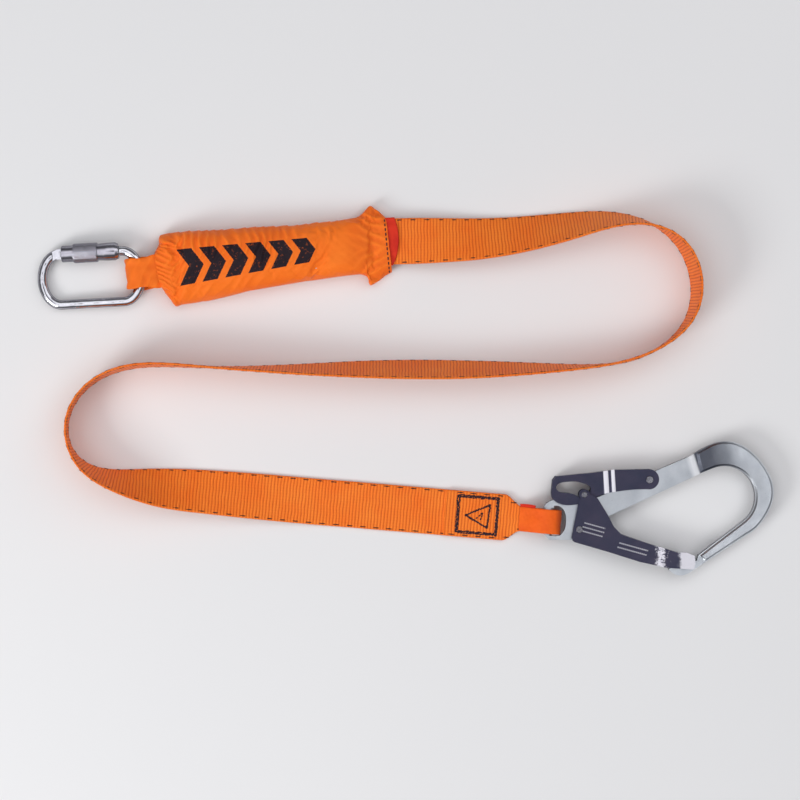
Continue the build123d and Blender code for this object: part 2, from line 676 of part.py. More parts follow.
pack_dir = Vector(math.cos(PACK_YAW), math.sin(PACK_YAW), 0)
pack_origin = Vector(-265.3, 116.8, 0)
pack_plan = Plane(origin=pack_origin, x_dir=pack_dir, z_dir=(0, 0, 1))
pack_wall = Plane(origin=pack_origin, x_dir=pack_dir, z_dir=Vector(pack_dir.Y, -pack_dir.X, 0))

# X, Y outline of the cover
COVER_PLAN = [
    (-249.1, 137.4), (-245.6, 143.4), (-241.6, 155.3), (-213.8, 159.3), (-153.8, 163.0),
    (-109.1, 164.5), (-74.3, 169.9), (-49.6, 174.2), (-34.3, 184.2), (-20.0, 175.0),
    (-13.4, 115.2), (-33.3, 103.8), (-39.3, 112.0), (-45.6, 113.7), (-100.2, 108.6),
    (-153.8, 98.4), (-193.5, 89.0), (-222.2, 85.3), (-225.7, 83.2), (-235.6, 93.6),
    (-243.6, 101.1),
]
COVER_WALL = 1.6
# distance along the pack, height of the cover's top, outside and inside, from the hem end
TOP_OUTSIDE = [(232, 17.0), (205, 27.5), (150, 31.0), (90, 30.5), (45, 28.0), (10, 24.6)]
TOP_INSIDE = [(230, 15.4), (204, 25.8), (150, 29.3), (90, 28.8), (45, 26.3), (5, 22.9)]

TEAR_LAYERS = 7
TEAR_PITCH = 3.1
TEAR_BOTTOM = 5.2                   # height of the lowest layer
TEAR_NEAR, TEAR_FAR = 92, 176       # ends of the folded layers along the pack


def carabiner_turn():
    """Draw the webbing's path round the carabiner, from the lower leg to the upper leg."""
    bottom, top = (0, LOOP_Z - LOOP_MID_R), (0, LOOP_Z + LOOP_MID_R)
    Spline((LEG_END, LOOP_LOWER_Z), bottom, tangents=[(-1, 0), (-1, -0.08)])
    ThreePointArc(bottom, (-LOOP_MID_R, LOOP_Z), top)
    Spline(top, (LEG_END, LOOP_UPPER_Z), tangents=[(1, -0.08), (1, 0)])


def carabiner_loop_webbing():
    with BuildPart() as webbing:
        with BuildSketch(pack_wall):
            with BuildLine():
                Line((76, LOOP_LOWER_Z), (LEG_END, LOOP_LOWER_Z))
                carabiner_turn()
                Line((LEG_END, LOOP_UPPER_Z), (84, LOOP_UPPER_Z))
            trace(line_width=WEB_T)
        extrude(amount=14, both=True)
    return webbing.part


def carabiner_loop_sleeve():
    """Wear sleeve on the outside of the loop, trimmed where the legs run into the pack."""
    inner_width = WEB_T + 0.3
    with BuildPart() as sleeve:
        with BuildSketch(pack_wall):
            with BuildLine() as turn:
                carabiner_turn()
            trace(line_width=inner_width + 2 * SLEEVE_T)
            trace(turn.line, line_width=inner_width, mode=Mode.SUBTRACT)
            # clear the inside of the loop
            with BuildLine():
                add(turn.line)
                Line((LEG_END, LOOP_LOWER_Z), (LEG_END, LOOP_UPPER_Z))
            make_face(mode=Mode.SUBTRACT)
            with Locations((43, 12)):
                Rectangle(60, 60, mode=Mode.SUBTRACT)
        extrude(amount=15.8, both=True)
    return sleeve.part


def cover_side(bottom, far_end, top):
    """Draw the cover's side outline; `top` runs from the hem to the near end."""
    near_corner = (top[-1][0], bottom)
    Polyline(near_corner, (far_end, bottom), (far_end, top[0][1]), top[0])
    Spline(*top)
    Line(top[-1], near_corner)


def cover_hollow():
    """Inside of the cover, running out through the neck and the hem."""
    with BuildPart() as hollow:
        with BuildSketch(Plane.XY):
            Polygon(*COVER_PLAN, align=None)
            offset(amount=-COVER_WALL)
        extrude(amount=60)
        with BuildSketch(pack_plan):
            with Locations((20, 0)):
                Rectangle(24, 32.4)
            with Locations((246, 3.4)):
                Rectangle(24, 53)
        extrude(amount=60)
        with BuildSketch(pack_wall):
            with BuildLine():
                cover_side(1.4, 270, TOP_INSIDE)
            make_face()
        extrude(amount=200, both=True, mode=Mode.INTERSECT)
    return hollow.part


def absorber_cover():
    with BuildPart() as cover:
        with BuildSketch(Plane.XY):
            Polygon(*COVER_PLAN, align=None)
        extrude(amount=60)
        with BuildSketch(pack_wall):
            with BuildLine():
                cover_side(0.1, 260, TOP_OUTSIDE)
            make_face()
        extrude(amount=200, both=True, mode=Mode.INTERSECT)
        add(cover_hollow(), mode=Mode.SUBTRACT)
    return cover.part


def tear_webbing():
    """Webbing folded to and fro in layers, with a tail at each end."""
    top = TEAR_BOTTOM + TEAR_PITCH * (TEAR_LAYERS - 1)
    with BuildPart() as webbing:
        with BuildSketch(pack_wall):
            with BuildLine():
                Line((62, 12.05), (80, 12.05))
                Spline((80, 12.05), (TEAR_NEAR, TEAR_BOTTOM), tangents=[(1, 0), (1, 0)])
                for layer in range(TEAR_LAYERS):
                    z = TEAR_BOTTOM + TEAR_PITCH * layer
                    start, end, bulge = TEAR_NEAR, TEAR_FAR, TEAR_PITCH / 2
                    if layer % 2:
                        start, end, bulge = end, start, -bulge
                    Line((start, z), (end, z))
                    if layer < TEAR_LAYERS - 1:
                        ThreePointArc((end, z), (end + bulge, z + TEAR_PITCH / 2),
                                      (end, z + TEAR_PITCH))
                Spline((TEAR_FAR, top), (198, 11.9), tangents=[(1, 0), (1, 0)])
                Line((198, 11.9), (220, 11.9))
            trace(line_width=2.0)
        extrude(amount=21, both=True)
    return webbing.part


def backup_webbing():
    """Thin webbing passing under the folded layers."""
    with BuildPart() as webbing:
        with BuildSketch(pack_wall):
            with BuildLine():
                Line((62, 7.5), (76, 7.5))
                Spline((76, 7.5), (90, 2.6), tangents=[(1, 0), (1, 0)])
                Line((90, 2.6), (182, 2.6))
                Spline((182, 2.6), (198, 7.1), tangents=[(1, 0), (1, 0)])
                Line((198, 7.1), (220, 7.1))
            trace(line_width=1.2)
        extrude(amount=19, both=True)
    return webbing.part


def absorber_bar_tacks():
    """Five tacks at each end of the pack."""
    # height, (along, across) of the middle tack, tack length
    groups = ((15.85, (73, 0), 24), (12.95, (211, 2), 30))
    with BuildPart() as tacks:
        for height, middle, length in groups:
            with BuildSketch(pack_plan.offset(height)):
                with GridLocations(3.6, 0, 5, 1):
                    with Locations(middle):
                        Rectangle(1.4, length)
            extrude(amount=0.6)
    return tacks.part


def absorber_red_liner():
    """Flat tube round the main webbing where it leaves the pack."""
    with BuildPart() as liner:
        with BuildSketch(web_section(0).offset(-29)):
            Rectangle(47.6, 5.4)
            Rectangle(46.6, 3.8, mode=Mode.SUBTRACT)
        extrude(amount=33)
    return liner.part


def cover_seam_stitching():
    """A row of stitches across the top of the cover's hem."""
    hem_start, hem_end = Vector(-20.3, 167.1, 17.05), Vector(-14.5, 120.4, 17.05)
    hem = hem_end - hem_start
    stitches = 8
    margin = 3
    spacing = (hem.length - 2 * margin) / (stitches - 1)
    with BuildPart() as stitching:
        with BuildSketch(Plane(origin=hem_start, x_dir=hem.normalized(), z_dir=(0, 0, 1))):
            for k in range(stitches):
                with Locations((margin + k * spacing, 0)):
                    Rectangle(4.0, 1.1)
        extrude(amount=0.5)
    return stitching.part


# ---------------------------------------------------------------- export
# each function's name is also the name of its piece
PIECES = (
    main_webbing, hook_loop_sleeve, hook_loop_liner, hook_box_stitching,
    hook_body, hook_gate, hook_lock_lever, hook_gate_rivet, hook_lock_pin, hook_lever_rivet,
    hook_gate_spacers, hook_gate_spring, hook_lever_spring,
    carabiner_body, carabiner_gate, carabiner_gate_rivet, carabiner_plunger,
    carabiner_gate_spring, carabiner_lock_sleeve, carabiner_sleeve_spring, carabiner_stop_pin,
    carabiner_loop_webbing, carabiner_loop_sleeve, absorber_cover, tear_webbing,
    backup_webbing, absorber_bar_tacks, absorber_red_liner, cover_seam_stitching,
)

for build_piece in PIECES:
    piece = build_piece()
    piece.label = build_piece.__name__
    export_step(piece, "parts/" + piece.label + ".step")
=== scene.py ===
# A webbing lanyard lying on the floor (z = 0), seen from above.
# The absorber pack and its carabiner lie at upper left (-X, +Y). The webbing leaves the pack
# towards +X, turns back, turns again at -X and ends at the snap hook at lower right.
# Geometry is worked out in millimetres; mesh vertices and shader lengths are in metres.
import math
import random

import bpy
import numpy as np
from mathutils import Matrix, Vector


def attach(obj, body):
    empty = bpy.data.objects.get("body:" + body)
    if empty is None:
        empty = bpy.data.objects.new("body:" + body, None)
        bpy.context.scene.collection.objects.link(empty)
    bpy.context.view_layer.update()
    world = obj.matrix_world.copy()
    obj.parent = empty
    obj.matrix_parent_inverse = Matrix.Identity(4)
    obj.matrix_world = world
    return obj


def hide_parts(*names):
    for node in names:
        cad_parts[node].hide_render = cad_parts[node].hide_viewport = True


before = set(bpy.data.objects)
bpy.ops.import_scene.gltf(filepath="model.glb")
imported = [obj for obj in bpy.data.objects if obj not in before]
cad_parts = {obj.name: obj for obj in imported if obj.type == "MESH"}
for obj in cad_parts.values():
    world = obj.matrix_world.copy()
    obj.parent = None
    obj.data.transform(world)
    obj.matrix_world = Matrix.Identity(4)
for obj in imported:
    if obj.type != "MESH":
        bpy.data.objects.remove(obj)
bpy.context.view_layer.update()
random.seed(7)
rng = np.random.default_rng(7)
MM = 0.001

# ---------------------------------------------------------------- shared sizes
WEB_WIDTH, WEB_THICK = 46.0, 2.2
WEB_HALF = WEB_WIDTH / 2
RIB_PITCH = 3.2
CLOTH_STEP = 0.6            # station spacing of sleeves and pack bands

# Hook eye: u runs along the webbing end, v across it (towards -Y), z up.
END_YAW = -4.8              # degrees
FLOOR_GAP = 0.05
EYE_U, EYE_Z, EYE_RADIUS = 102.0, 12.5, 7.6
EYE_BEND = EYE_RADIUS + WEB_THICK / 2
LOW_Z = FLOOR_GAP + WEB_THICK / 2
HIGH_Z = FLOOR_GAP + 1.5 * WEB_THICK + 0.1

# Absorber pack: u runs from the carabiner loop to the hem, v across it (towards +Y).
PACK_YAW = 6.0              # degrees
PACK_ORIGIN = np.array([-265.3, 116.8, 0])
LOOP_Z, LOOP_RADIUS = 12.05, 8.5
LOOP_BEND = LOOP_RADIUS + WEB_THICK / 2

# Webbing run, pack to hook: x and y of the left edge, heading and lean in degrees
# (lean 0 lies flat, 90 stands on edge).
STATION_PITCH = 25.3
STATIONS = [
    (-12.9, 171.2, 2.1, 0.0), (12.6, 171.6, 0.2, 5.5), (37.9, 171.5, -0.4, 14.4),
    (63.2, 171.3, 0.2, 22.0), (88.4, 171.8, 1.7, 29.5), (113.7, 173.1, 3.8, 36.9),
    (139.0, 175.1, 5.2, 44.4), (164.4, 177.2, 4.4, 52.4), (189.8, 178.5, -0.1, 61.3),
    (214.9, 176.6, -9.3, 71.2), (239.1, 169.8, -22.7, 81.5), (260.4, 156.8, -40.4, 91.0),
    (276.3, 137.5, -60.3, 97.5), (285.1, 113.4, -79.4, 99.2), (285.6, 88.0, -99.0, 97.5),
    (277.1, 64.9, -122.0, 93.5), (260.0, 46.4, -142.5, 89.8), (237.9, 33.9, -158.2, 88.3),
    (213.6, 27.2, -170.6, 89.4), (188.6, 25.0, -178.4, 92.6), (163.4, 25.2, -181.8, 96.9),
    (138.0, 26.2, -182.6, 101.6), (112.6, 27.3, -182.4, 105.9), (87.1, 28.3, -182.0, 109.6),
    (61.7, 29.0, -181.5, 112.2), (36.4, 29.6, -180.8, 113.7), (11.1, 29.8, -179.9, 113.9),
    (-14.1, 29.5, -178.9, 113.0), (-39.3, 28.8, -177.9, 110.9), (-64.6, 27.6, -177.1, 107.9),
    (-89.8, 26.2, -176.8, 104.4), (-115.1, 24.8, -177.0, 100.6), (-140.5, 23.8, -177.8, 96.9),
    (-165.8, 23.0, -179.1, 93.5), (-191.2, 22.9, -180.7, 90.6), (-216.6, 23.5, -181.7, 88.5),
    (-241.9, 24.0, -180.0, 87.2), (-267.0, 22.8, -173.2, 87.0), (-291.4, 17.2, -160.0, 87.8),
    (-313.6, 5.1, -142.1, 89.5), (-330.5, -14.4, -119.1, 91.6), (-337.2, -38.9, -90.7, 93.0),
    (-330.4, -61.9, -55.2, 90.6), (-311.7, -75.9, -20.5, 80.0), (-287.0, -79.6, -0.6, 63.4),
    (-260.9, -79.0, 1.6, 45.8), (-235.2, -78.8, -0.7, 32.5), (-209.9, -79.5, -2.5, 24.7),
    (-184.9, -80.9, -3.6, 19.5), (-159.9, -82.6, -4.2, 14.3), (-134.8, -84.5, -4.6, 9.0),
    (-109.6, -86.6, -4.7, 4.5), (-84.3, -88.8, -4.7, 1.4), (-58.9, -90.8, -4.7, 0.0),
    (-33.4, -92.9, -4.7, 0.0), (-7.9, -95.0, -4.7, 0.0), (17.2, -97.1, -4.8, 0.0),
    (41.9, -99.2, -5.1, 0.0),
]

# Cover outline, x and y, from the neck (-X) to the hem (+X): +Y edge, then -Y edge.
COVER_TOP = [
    (-249.2, 137.5), (-245.8, 143.5), (-242.7, 155.2), (-228.9, 157.5), (-213.8, 159.3),
    (-183.7, 161.1), (-153.8, 163.0), (-109.1, 164.5), (-74.4, 168.6), (-59.5, 171.6),
    (-49.6, 173.6), (-41.7, 180.1), (-34.3, 184.8), (-26.7, 179.1), (-18.6, 171.7),
]
COVER_BOTTOM = [
    (-243.2, 103.1), (-236.0, 93.8), (-225.9, 83.2), (-220.2, 85.7), (-194.0, 89.3),
    (-154.0, 98.6), (-100.2, 108.6), (-64.5, 112.3), (-45.6, 114.1), (-39.4, 112.2),
    (-36.2, 106.8), (-33.3, 103.4), (-26.7, 108.3), (-19.8, 113.8), (-12.6, 117.6),
]
# Cover crown: u, height.
COVER_CROWN = [
    (8, 23.6), (20, 24.6), (36, 26.2), (60, 28.6), (90, 30.0), (130, 30.6),
    (160, 30.2), (190, 27.6), (210, 23.0), (225, 18.6), (236, 16.6), (250, 16.0),
]


# ---------------------------------------------------------------- curves and numbers
def clamp(x):
    return np.clip(x, 0, 1)


def rise(x, start, length):
    """0 before start, 1 once length past it."""
    return clamp((x - start) / length)


def fall(x, end, length):
    """1 until length before end, 0 past it."""
    return clamp((end - x) / length)


def ease(t):
    return t * t * (3 - 2 * t)


def unit(v):
    return v / np.maximum(np.linalg.norm(v, axis=-1, keepdims=True), 1e-9)


def heading_dir(degrees):
    angle = math.radians(degrees)
    return np.array([math.cos(angle), math.sin(angle), 0])


def right_of(direction):
    return np.array([direction[1], -direction[0], 0])


def spline(xs, ys, query):
    """Natural cubic through (xs, ys) at query."""
    xs, ys, query = np.asarray(xs, float), np.asarray(ys, float), np.asarray(query, float)
    n = len(xs)
    gap = np.diff(xs)
    matrix = np.zeros((n, n))
    right = np.zeros(n)
    matrix[0, 0] = matrix[-1, -1] = 1
    for i in range(1, n - 1):
        matrix[i, i - 1:i + 2] = gap[i - 1], 2 * (gap[i - 1] + gap[i]), gap[i]
        right[i] = 3 * ((ys[i + 1] - ys[i]) / gap[i] - (ys[i] - ys[i - 1]) / gap[i - 1])
    square = np.linalg.solve(matrix, right)
    slope = np.diff(ys) / gap - gap * (2 * square[:-1] + square[1:]) / 3
    cube = np.diff(square) / (3 * gap)
    k = np.clip(np.searchsorted(xs, query) - 1, 0, n - 2)
    t = query - xs[k]
    return ys[k] + slope[k] * t + square[k] * t * t + cube[k] * t ** 3


def hermite(start, end, start_dir, end_dir, count):
    """Cubic between two points; its tangents are as long as the chord."""
    t = np.linspace(0, 1, count)[:, None]
    chord = np.linalg.norm(np.subtract(end, start))
    from_start = (2*t**3 - 3*t**2 + 1) * np.array(start)
    leave = (t**3 - 2*t**2 + t) * (np.array(start_dir, float) * chord)
    to_end = (-2*t**3 + 3*t**2) * np.array(end)
    arrive = (t**3 - t**2) * (np.array(end_dir, float) * chord)
    return from_start + leave + to_end + arrive


def arc(centre, radius, start, end, count):
    """Arc points, angles in degrees."""
    a = np.radians(np.linspace(start, end, count))
    return np.stack([centre[0] + radius * np.cos(a), centre[1] + radius * np.sin(a)], 1)


def join(*parts):
    """Chain point lists, dropping a first point that repeats the last one."""
    out = [np.asarray(parts[0], float)]
    for part in parts[1:]:
        part = np.asarray(part, float)
        repeats = np.linalg.norm(part[0] - out[-1][-1]) < 1e-3
        out.append(part[1:] if repeats else part)
    return np.concatenate(out)


def lengths_along(points):
    return np.r_[0, np.cumsum(np.linalg.norm(np.diff(points, axis=0), axis=1))]


def resample(points, step):
    """Even steps along a path; returns points and their distances along it."""
    points = np.asarray(points, float)
    s = lengths_along(points)
    keep = np.r_[True, np.diff(s) > 1e-6]
    points, s = points[keep], s[keep]
    q = np.arange(0, s[-1], step)
    if s[-1] - q[-1] > 1e-6:
        q = np.r_[q, s[-1]]
    return np.stack([np.interp(q, s, column) for column in points.T], 1), q


def ripple(x, y, frequency, seed):
    """Smooth 2-D noise, about -1..1, from six random plane waves."""
    draw = np.random.default_rng(seed)
    out = 0
    for _ in range(6):
        a = draw.uniform(0, 2 * math.pi)
        g = frequency * draw.uniform(0.6, 1.7)
        phase = draw.uniform(0, 6.28)
        out = out + np.sin((x * math.cos(a) + y * math.sin(a)) * g * 2 * math.pi + phase)
    return out / 3.2


def crease(phase, power=1.0):
    """Sharp ridges, 1 at every multiple of pi."""
    return 1 - np.abs(np.sin(phase)) ** power


# ---------------------------------------------------------------- meshes
def make(name, verts, faces, material, replaced=None, body="webbing"):
    """Smooth mesh object from millimetre points and equal-sized faces."""
    mesh = bpy.data.meshes.new(name)
    verts = np.asarray(verts, float) * MM
    faces = np.asarray(faces, np.int64)
    n, corners = faces.shape
    mesh.vertices.add(len(verts))
    mesh.vertices.foreach_set("co", verts.ravel())
    mesh.loops.add(n * corners)
    mesh.loops.foreach_set("vertex_index", faces.ravel().astype(np.int32))
    mesh.polygons.add(n)
    starts = np.arange(0, n * corners, corners, dtype=np.int32)
    mesh.polygons.foreach_set("loop_start", starts)
    mesh.polygons.foreach_set("loop_total", np.full(n, corners, np.int32))
    mesh.update(calc_edges=True)
    mesh.validate()
    mesh.polygons.foreach_set("use_smooth", np.full(len(mesh.polygons), True))
    obj = bpy.data.objects.new(name, mesh)
    bpy.context.scene.collection.objects.link(obj)
    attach(obj, body)
    if replaced:
        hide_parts(replaced)
    mesh.materials.append(material.material)
    return obj


def set_dip(obj, values):
    """Store how deep each vertex lies in a groove, 0..1; the cloth shader paints shade into the
    grooves from it.
    """
    attribute = obj.data.attributes.new("groove_shade", "FLOAT", "POINT")
    attribute.data.foreach_set("value", values.ravel().astype(np.float32))


def ring_faces(n, m):
    """Quads joining n closed rings of m points."""
    i, j = np.meshgrid(np.arange(n - 1), np.arange(m), indexing="ij")
    a = i * m + j
    b = i * m + (j + 1) % m
    return np.stack([a, b, b + m, a + m], -1).reshape(-1, 4)


def ribbon(name, centres, widths, half_width, half_thick, across, material,
           replaced, top=None, bottom=None, edge_thickness=0.55):
    """Closed band along centres; widths holds its width direction(s).

    top and bottom give extra height from (station index, width position -1..1);
    edge_thickness is the share of the thickness left at the edges.
    Returns tangents, width directions and normals."""
    n = len(centres)
    tangents = unit(np.gradient(centres, axis=0))
    widths = unit(widths - (widths * tangents).sum(1, keepdims=True) * tangents)
    normals = unit(np.cross(widths, tangents))
    half_width = np.broadcast_to(half_width, (n,)).astype(float)
    v = np.linspace(-1, 1, across)
    edge = clamp((1 - np.abs(v)) * 30) ** 0.5
    thickness = half_thick * (edge_thickness + (1 - edge_thickness) * edge)
    index, place = np.meshgrid(np.arange(n), v, indexing="ij")
    groove_shade = np.zeros((n, 2 * across))

    def side(relief):
        """Height above the mid surface, and groove depth 0..1."""
        if relief is None:
            return np.tile(thickness, (n, 1)), 0
        extra = relief(index, place)
        depth = (extra.max() - extra) / max(1e-6, float(np.ptp(extra)))
        return thickness + extra, depth[:, ::-1] if relief is bottom_only else depth

    bottom_only = None
    up, groove_shade[:, :across] = side(top)
    down, bottom_dip = side(bottom)
    groove_shade[:, across:] = bottom_dip[:, ::-1] if bottom is not None else 0

    middle = centres[:, None, :] + widths[:, None, :] * (place * half_width[:, None])[..., None]
    upper = middle + normals[:, None, :] * up[..., None]
    lower = (middle - normals[:, None, :] * down[..., None])[:, ::-1]
    ring = np.concatenate([upper, lower], 1)
    m = ring.shape[1]
    caps = []
    for s in (0, n - 1):
        for j in range(across - 1):
            quad = [s * m + j, s * m + j + 1, s * m + m - 2 - j, s * m + m - 1 - j]
            caps.append(quad[::-1] if s == 0 else quad)
    faces = np.concatenate([ring_faces(n, m), np.array(caps)])
    obj = make(name, ring.reshape(-1, 3), faces, material, replaced)
    set_dip(obj, groove_shade)
    return tangents, widths, normals


def threads(name, stitches, length, radius, material, replaced=None, flat=0.75):
    """Rounded threads, one capsule per (centre, direction, normal)."""
    rings, sides = 7, 6
    t = np.linspace(-1, 1, rings)
    taper = np.sqrt(np.clip(1 - np.abs(t) ** 4, 0, 1))
    taper[0] = taper[-1] = 0.25
    angles = np.linspace(0, 2 * math.pi, sides, endpoint=False)
    verts, faces = [], []
    for centre, direction, normal in stitches:
        base = len(verts)
        side = np.cross(normal, direction)
        for k in range(rings):
            middle = centre + direction * (t[k] * length / 2)
            for a in angles:
                verts.append(middle + side * (math.cos(a) * radius * taper[k])
                             + normal * (math.sin(a) * radius * flat * taper[k]))
        for k in range(rings - 1):
            low = base + k * sides
            for a in range(sides):
                b = (a + 1) % sides
                faces.append([low + a, low + b, low + sides + b, low + sides + a])
        end = base + (rings - 1) * sides
        faces += [[base, base + 5, base + 4, base + 3], [base, base + 3, base + 2, base + 1]]
        faces += [[end, end + 1, end + 2, end + 3], [end, end + 3, end + 4, end + 5]]
    make(name, np.array(verts), np.array(faces), material, replaced)


# ---------------------------------------------------------------- shader kit
def srgb(*rgb):
    """Linear colour from 0..255 sRGB."""
    def linear(c):
        return c / 12.92 if c <= 0.04045 else ((c + 0.055) / 1.055) ** 2.4
    return (*(linear(c / 255) for c in rgb), 1)


class Value:
    """A shader output; arithmetic on it adds Math nodes."""

    def __init__(self, shader, socket):
        self.shader = shader
        self.socket = socket

    def __add__(self, other):
        return self.shader.math("ADD", self, other)

    def __radd__(self, other):
        return self.shader.math("ADD", other, self)

    def __sub__(self, other):
        return self.shader.math("SUBTRACT", self, other)

    def __rsub__(self, other):
        return self.shader.math("SUBTRACT", other, self)

    def __mul__(self, other):
        return self.shader.math("MULTIPLY", self, other)

    def __truediv__(self, other):
        return self.shader.math("DIVIDE", self, other)

    def __pow__(self, other):
        return self.shader.math("POWER", self, other)

    def __gt__(self, other):
        return self.shader.math("GREATER_THAN", self, other)

    def __lt__(self, other):
        return self.shader.math("LESS_THAN", self, other)

    def __abs__(self):
        return self.shader.math("ABSOLUTE", self)


class Shader:
    """A Principled material with helpers that add nodes."""

    def __init__(self, name):
        self.material = bpy.data.materials.new(name)
        self.material.use_nodes = True
        self.tree = self.material.node_tree
        self.principled = self.tree.nodes["Principled BSDF"]
        self.coords = self.value(self.node("ShaderNodeTexCoord").outputs["Object"])

    def node(self, kind, **settings):
        node = self.tree.nodes.new(kind)
        for key, setting in settings.items():
            setattr(node, key, setting)
        return node

    def value(self, socket):
        return Value(self, socket)

    def put(self, socket, value):
        if isinstance(value, Value):
            self.tree.links.new(value.socket, socket)
        else:
            socket.default_value = value

    def math(self, operation, a, b=0.0):
        node = self.node("ShaderNodeMath", operation=operation)
        self.put(node.inputs[0], a)
        self.put(node.inputs[1], b)
        return self.value(node.outputs[0])

    def maximum(self, a, b):
        return self.math("MAXIMUM", a, b)

    def mapping(self, rotation=(0, 0, 0)):
        node = self.node("ShaderNodeMapping")
        self.put(node.inputs["Vector"], self.coords)
        node.inputs["Rotation"].default_value = rotation
        return self.value(node.outputs[0])

    def texture(self, kind, vector, settings):
        node = self.node(kind)
        self.put(node.inputs["Vector"], vector or self.coords)
        for key, setting in settings.items():
            node.inputs[key].default_value = setting
        return self.value(node.outputs["Fac"])

    def noise(self, scale, detail=3.0, roughness=0.5, vector=None):
        settings = {"Scale": scale, "Detail": detail, "Roughness": roughness, "Distortion": 0.0}
        return self.texture("ShaderNodeTexNoise", vector, settings)

    def wave(self, scale, vector):
        settings = {"Scale": scale, "Distortion": 0.0, "Detail": 0.0}
        return self.texture("ShaderNodeTexWave", vector, settings)

    def ramp(self, factor, *stops):
        """Grey ramp through (position, grey) stops."""
        node = self.node("ShaderNodeValToRGB")
        self.put(node.inputs[0], factor)
        elements = node.color_ramp.elements
        while len(elements) < len(stops):
            elements.new(0.5)
        for element, (position, grey) in zip(elements, stops):
            element.position = position
            element.color = (grey, grey, grey, 1)
        return self.value(node.outputs[0])

    def mix(self, factor, a, b):
        node = self.node("ShaderNodeMix", data_type="RGBA", blend_type="MIX")
        for index, value in ((0, factor), (6, a), (7, b)):
            self.put(node.inputs[index], value)
        return self.value(node.outputs[2])

    def bump(self, height, strength, distance):
        node = self.node("ShaderNodeBump")
        node.inputs["Strength"].default_value = strength
        node.inputs["Distance"].default_value = distance
        self.put(node.inputs["Height"], height)
        self.put(self.principled.inputs["Normal"], self.value(node.outputs[0]))

    def set(self, values):
        for key, value in values.items():
            self.put(self.principled.inputs[key], value)

    def linked(self, key):
        """The value that now feeds a Principled input."""
        return self.value(self.principled.inputs[key].links[0].from_socket)

    def tint(self, factor, colour):
        """Lay a colour over the present base colour."""
        self.set({"Base Color": self.mix(factor, self.linked("Base Color"), colour)})

    def position(self):
        node = self.node("ShaderNodeSeparateXYZ")
        self.put(node.inputs[0], self.coords)
        return [self.value(socket) for socket in node.outputs]


def cloth(name, light, dark, roughness, weave, sheen=0.05, groove=0.0, deep=None):
    """Woven cloth; groove is how strongly the deep colour fills the dips as painted shade."""
    shader = Shader(name)
    blotch = shader.noise(scale=34, detail=4, roughness=0.6)
    warp = shader.wave(weave, shader.mapping(rotation=(0.3, 0.2, 0.1)))
    weft = shader.wave(weave, shader.mapping(rotation=(0.1, 0.3, 1.67)))
    grid = warp * weft
    colour = shader.mix(shader.ramp(blotch, (0.3, 0), (0.7, 1)), light, dark)
    colour = shader.mix(grid * 0.18, colour, dark)
    # painted shade: the deep colour darkens the grooves and folds, where shade falls
    if groove:
        groove_shade = shader.node("ShaderNodeAttribute", attribute_name="groove_shade").outputs["Fac"]
        colour = shader.mix(shader.value(groove_shade) ** 1.6 * groove, colour, deep)
    shader.set({"Base Color": colour, "Roughness": roughness, "Sheen Weight": sheen,
                "Sheen Roughness": 0.5, "Specular IOR Level": 0.2})
    shader.bump(grid + shader.noise(scale=400, detail=2) * 0.5, strength=0.25, distance=0.0003)
    return shader


def metal(name, light, dark, roughness, wear=0.2, coat=0.0, metallic=1.0,
          broad=0.0, broad_scale=30.0, fine=0.3, edge=0.0):
    """Metal. wear: roughness spread. broad, broad_scale: height (m) and scale of slow
    undulation. fine: grain strength. edge: strength of a painted dark reflection that
    darkens surfaces seen edge-on."""
    shader = Shader(name)
    patches = shader.noise(scale=45, detail=5, roughness=0.65)
    grain = shader.noise(scale=900, detail=3, roughness=0.6, vector=shader.mapping())
    colour = shader.mix(shader.ramp(patches, (0.3, 0), (0.75, 1)), light, dark)
    if edge:
        # painted dark reflection: surfaces seen edge-on are darkened towards near-black
        weight = shader.node("ShaderNodeLayerWeight")
        weight.inputs["Blend"].default_value = 0.5
        facing = shader.ramp(shader.value(weight.outputs["Facing"]), (0.25, 0), (0.62, 1))
        colour = shader.mix(facing * edge, colour, (0.04, 0.04, 0.06, 1))
    rough = roughness + (grain - 0.5) * wear
    shader.set({"Base Color": colour, "Metallic": metallic,
                "Roughness": shader.maximum(rough, 0.06)})
    if coat:
        shader.set({"Coat Weight": coat, "Coat Roughness": 0.08})
    height = grain * (0.00004 * fine) + shader.noise(scale=260, detail=3) * (0.00010 * fine)
    height = height + shader.noise(broad_scale, detail=2, roughness=0.4) * broad
    shader.bump(height, strength=1.0, distance=1.0)
    return shader


# ---------------------------------------------------------------- materials
THREAD_WEAVE = 5000 / 6
BLACK_METALLIC = 0.55

# groove and deep set how much painted shade fills the grooves of ribs, wrinkles and folds
web_cloth = cloth("webbing_orange", srgb(255, 140, 46), srgb(252, 122, 32),
                  roughness=0.62, weave=400, groove=1.0, deep=srgb(190, 68, 14))
cover_cloth = cloth("cover_orange", srgb(255, 128, 34), srgb(250, 116, 26),
                    roughness=0.66, weave=500, groove=0.55, deep=srgb(228, 92, 18))
sleeve_cloth = cloth("sleeve_orange", srgb(255, 116, 30), srgb(248, 100, 22),
                     roughness=0.6, weave=500, groove=0.5, deep=srgb(220, 70, 14))
red_cloth = cloth("liner_red", srgb(232, 56, 26), srgb(200, 34, 20), roughness=0.6, weave=400)
white_cloth = cloth("tear_white", srgb(214, 208, 196), srgb(186, 178, 160),
                    roughness=0.8, weave=400)
black_thread = cloth("thread_black", srgb(58, 34, 44), srgb(34, 20, 30),
                     roughness=0.55, weave=THREAD_WEAVE, sheen=0.1)
tracer_thread = cloth("tracer_brown", srgb(96, 40, 26), srgb(56, 22, 18),
                      roughness=0.6, weave=THREAD_WEAVE, sheen=0.1)

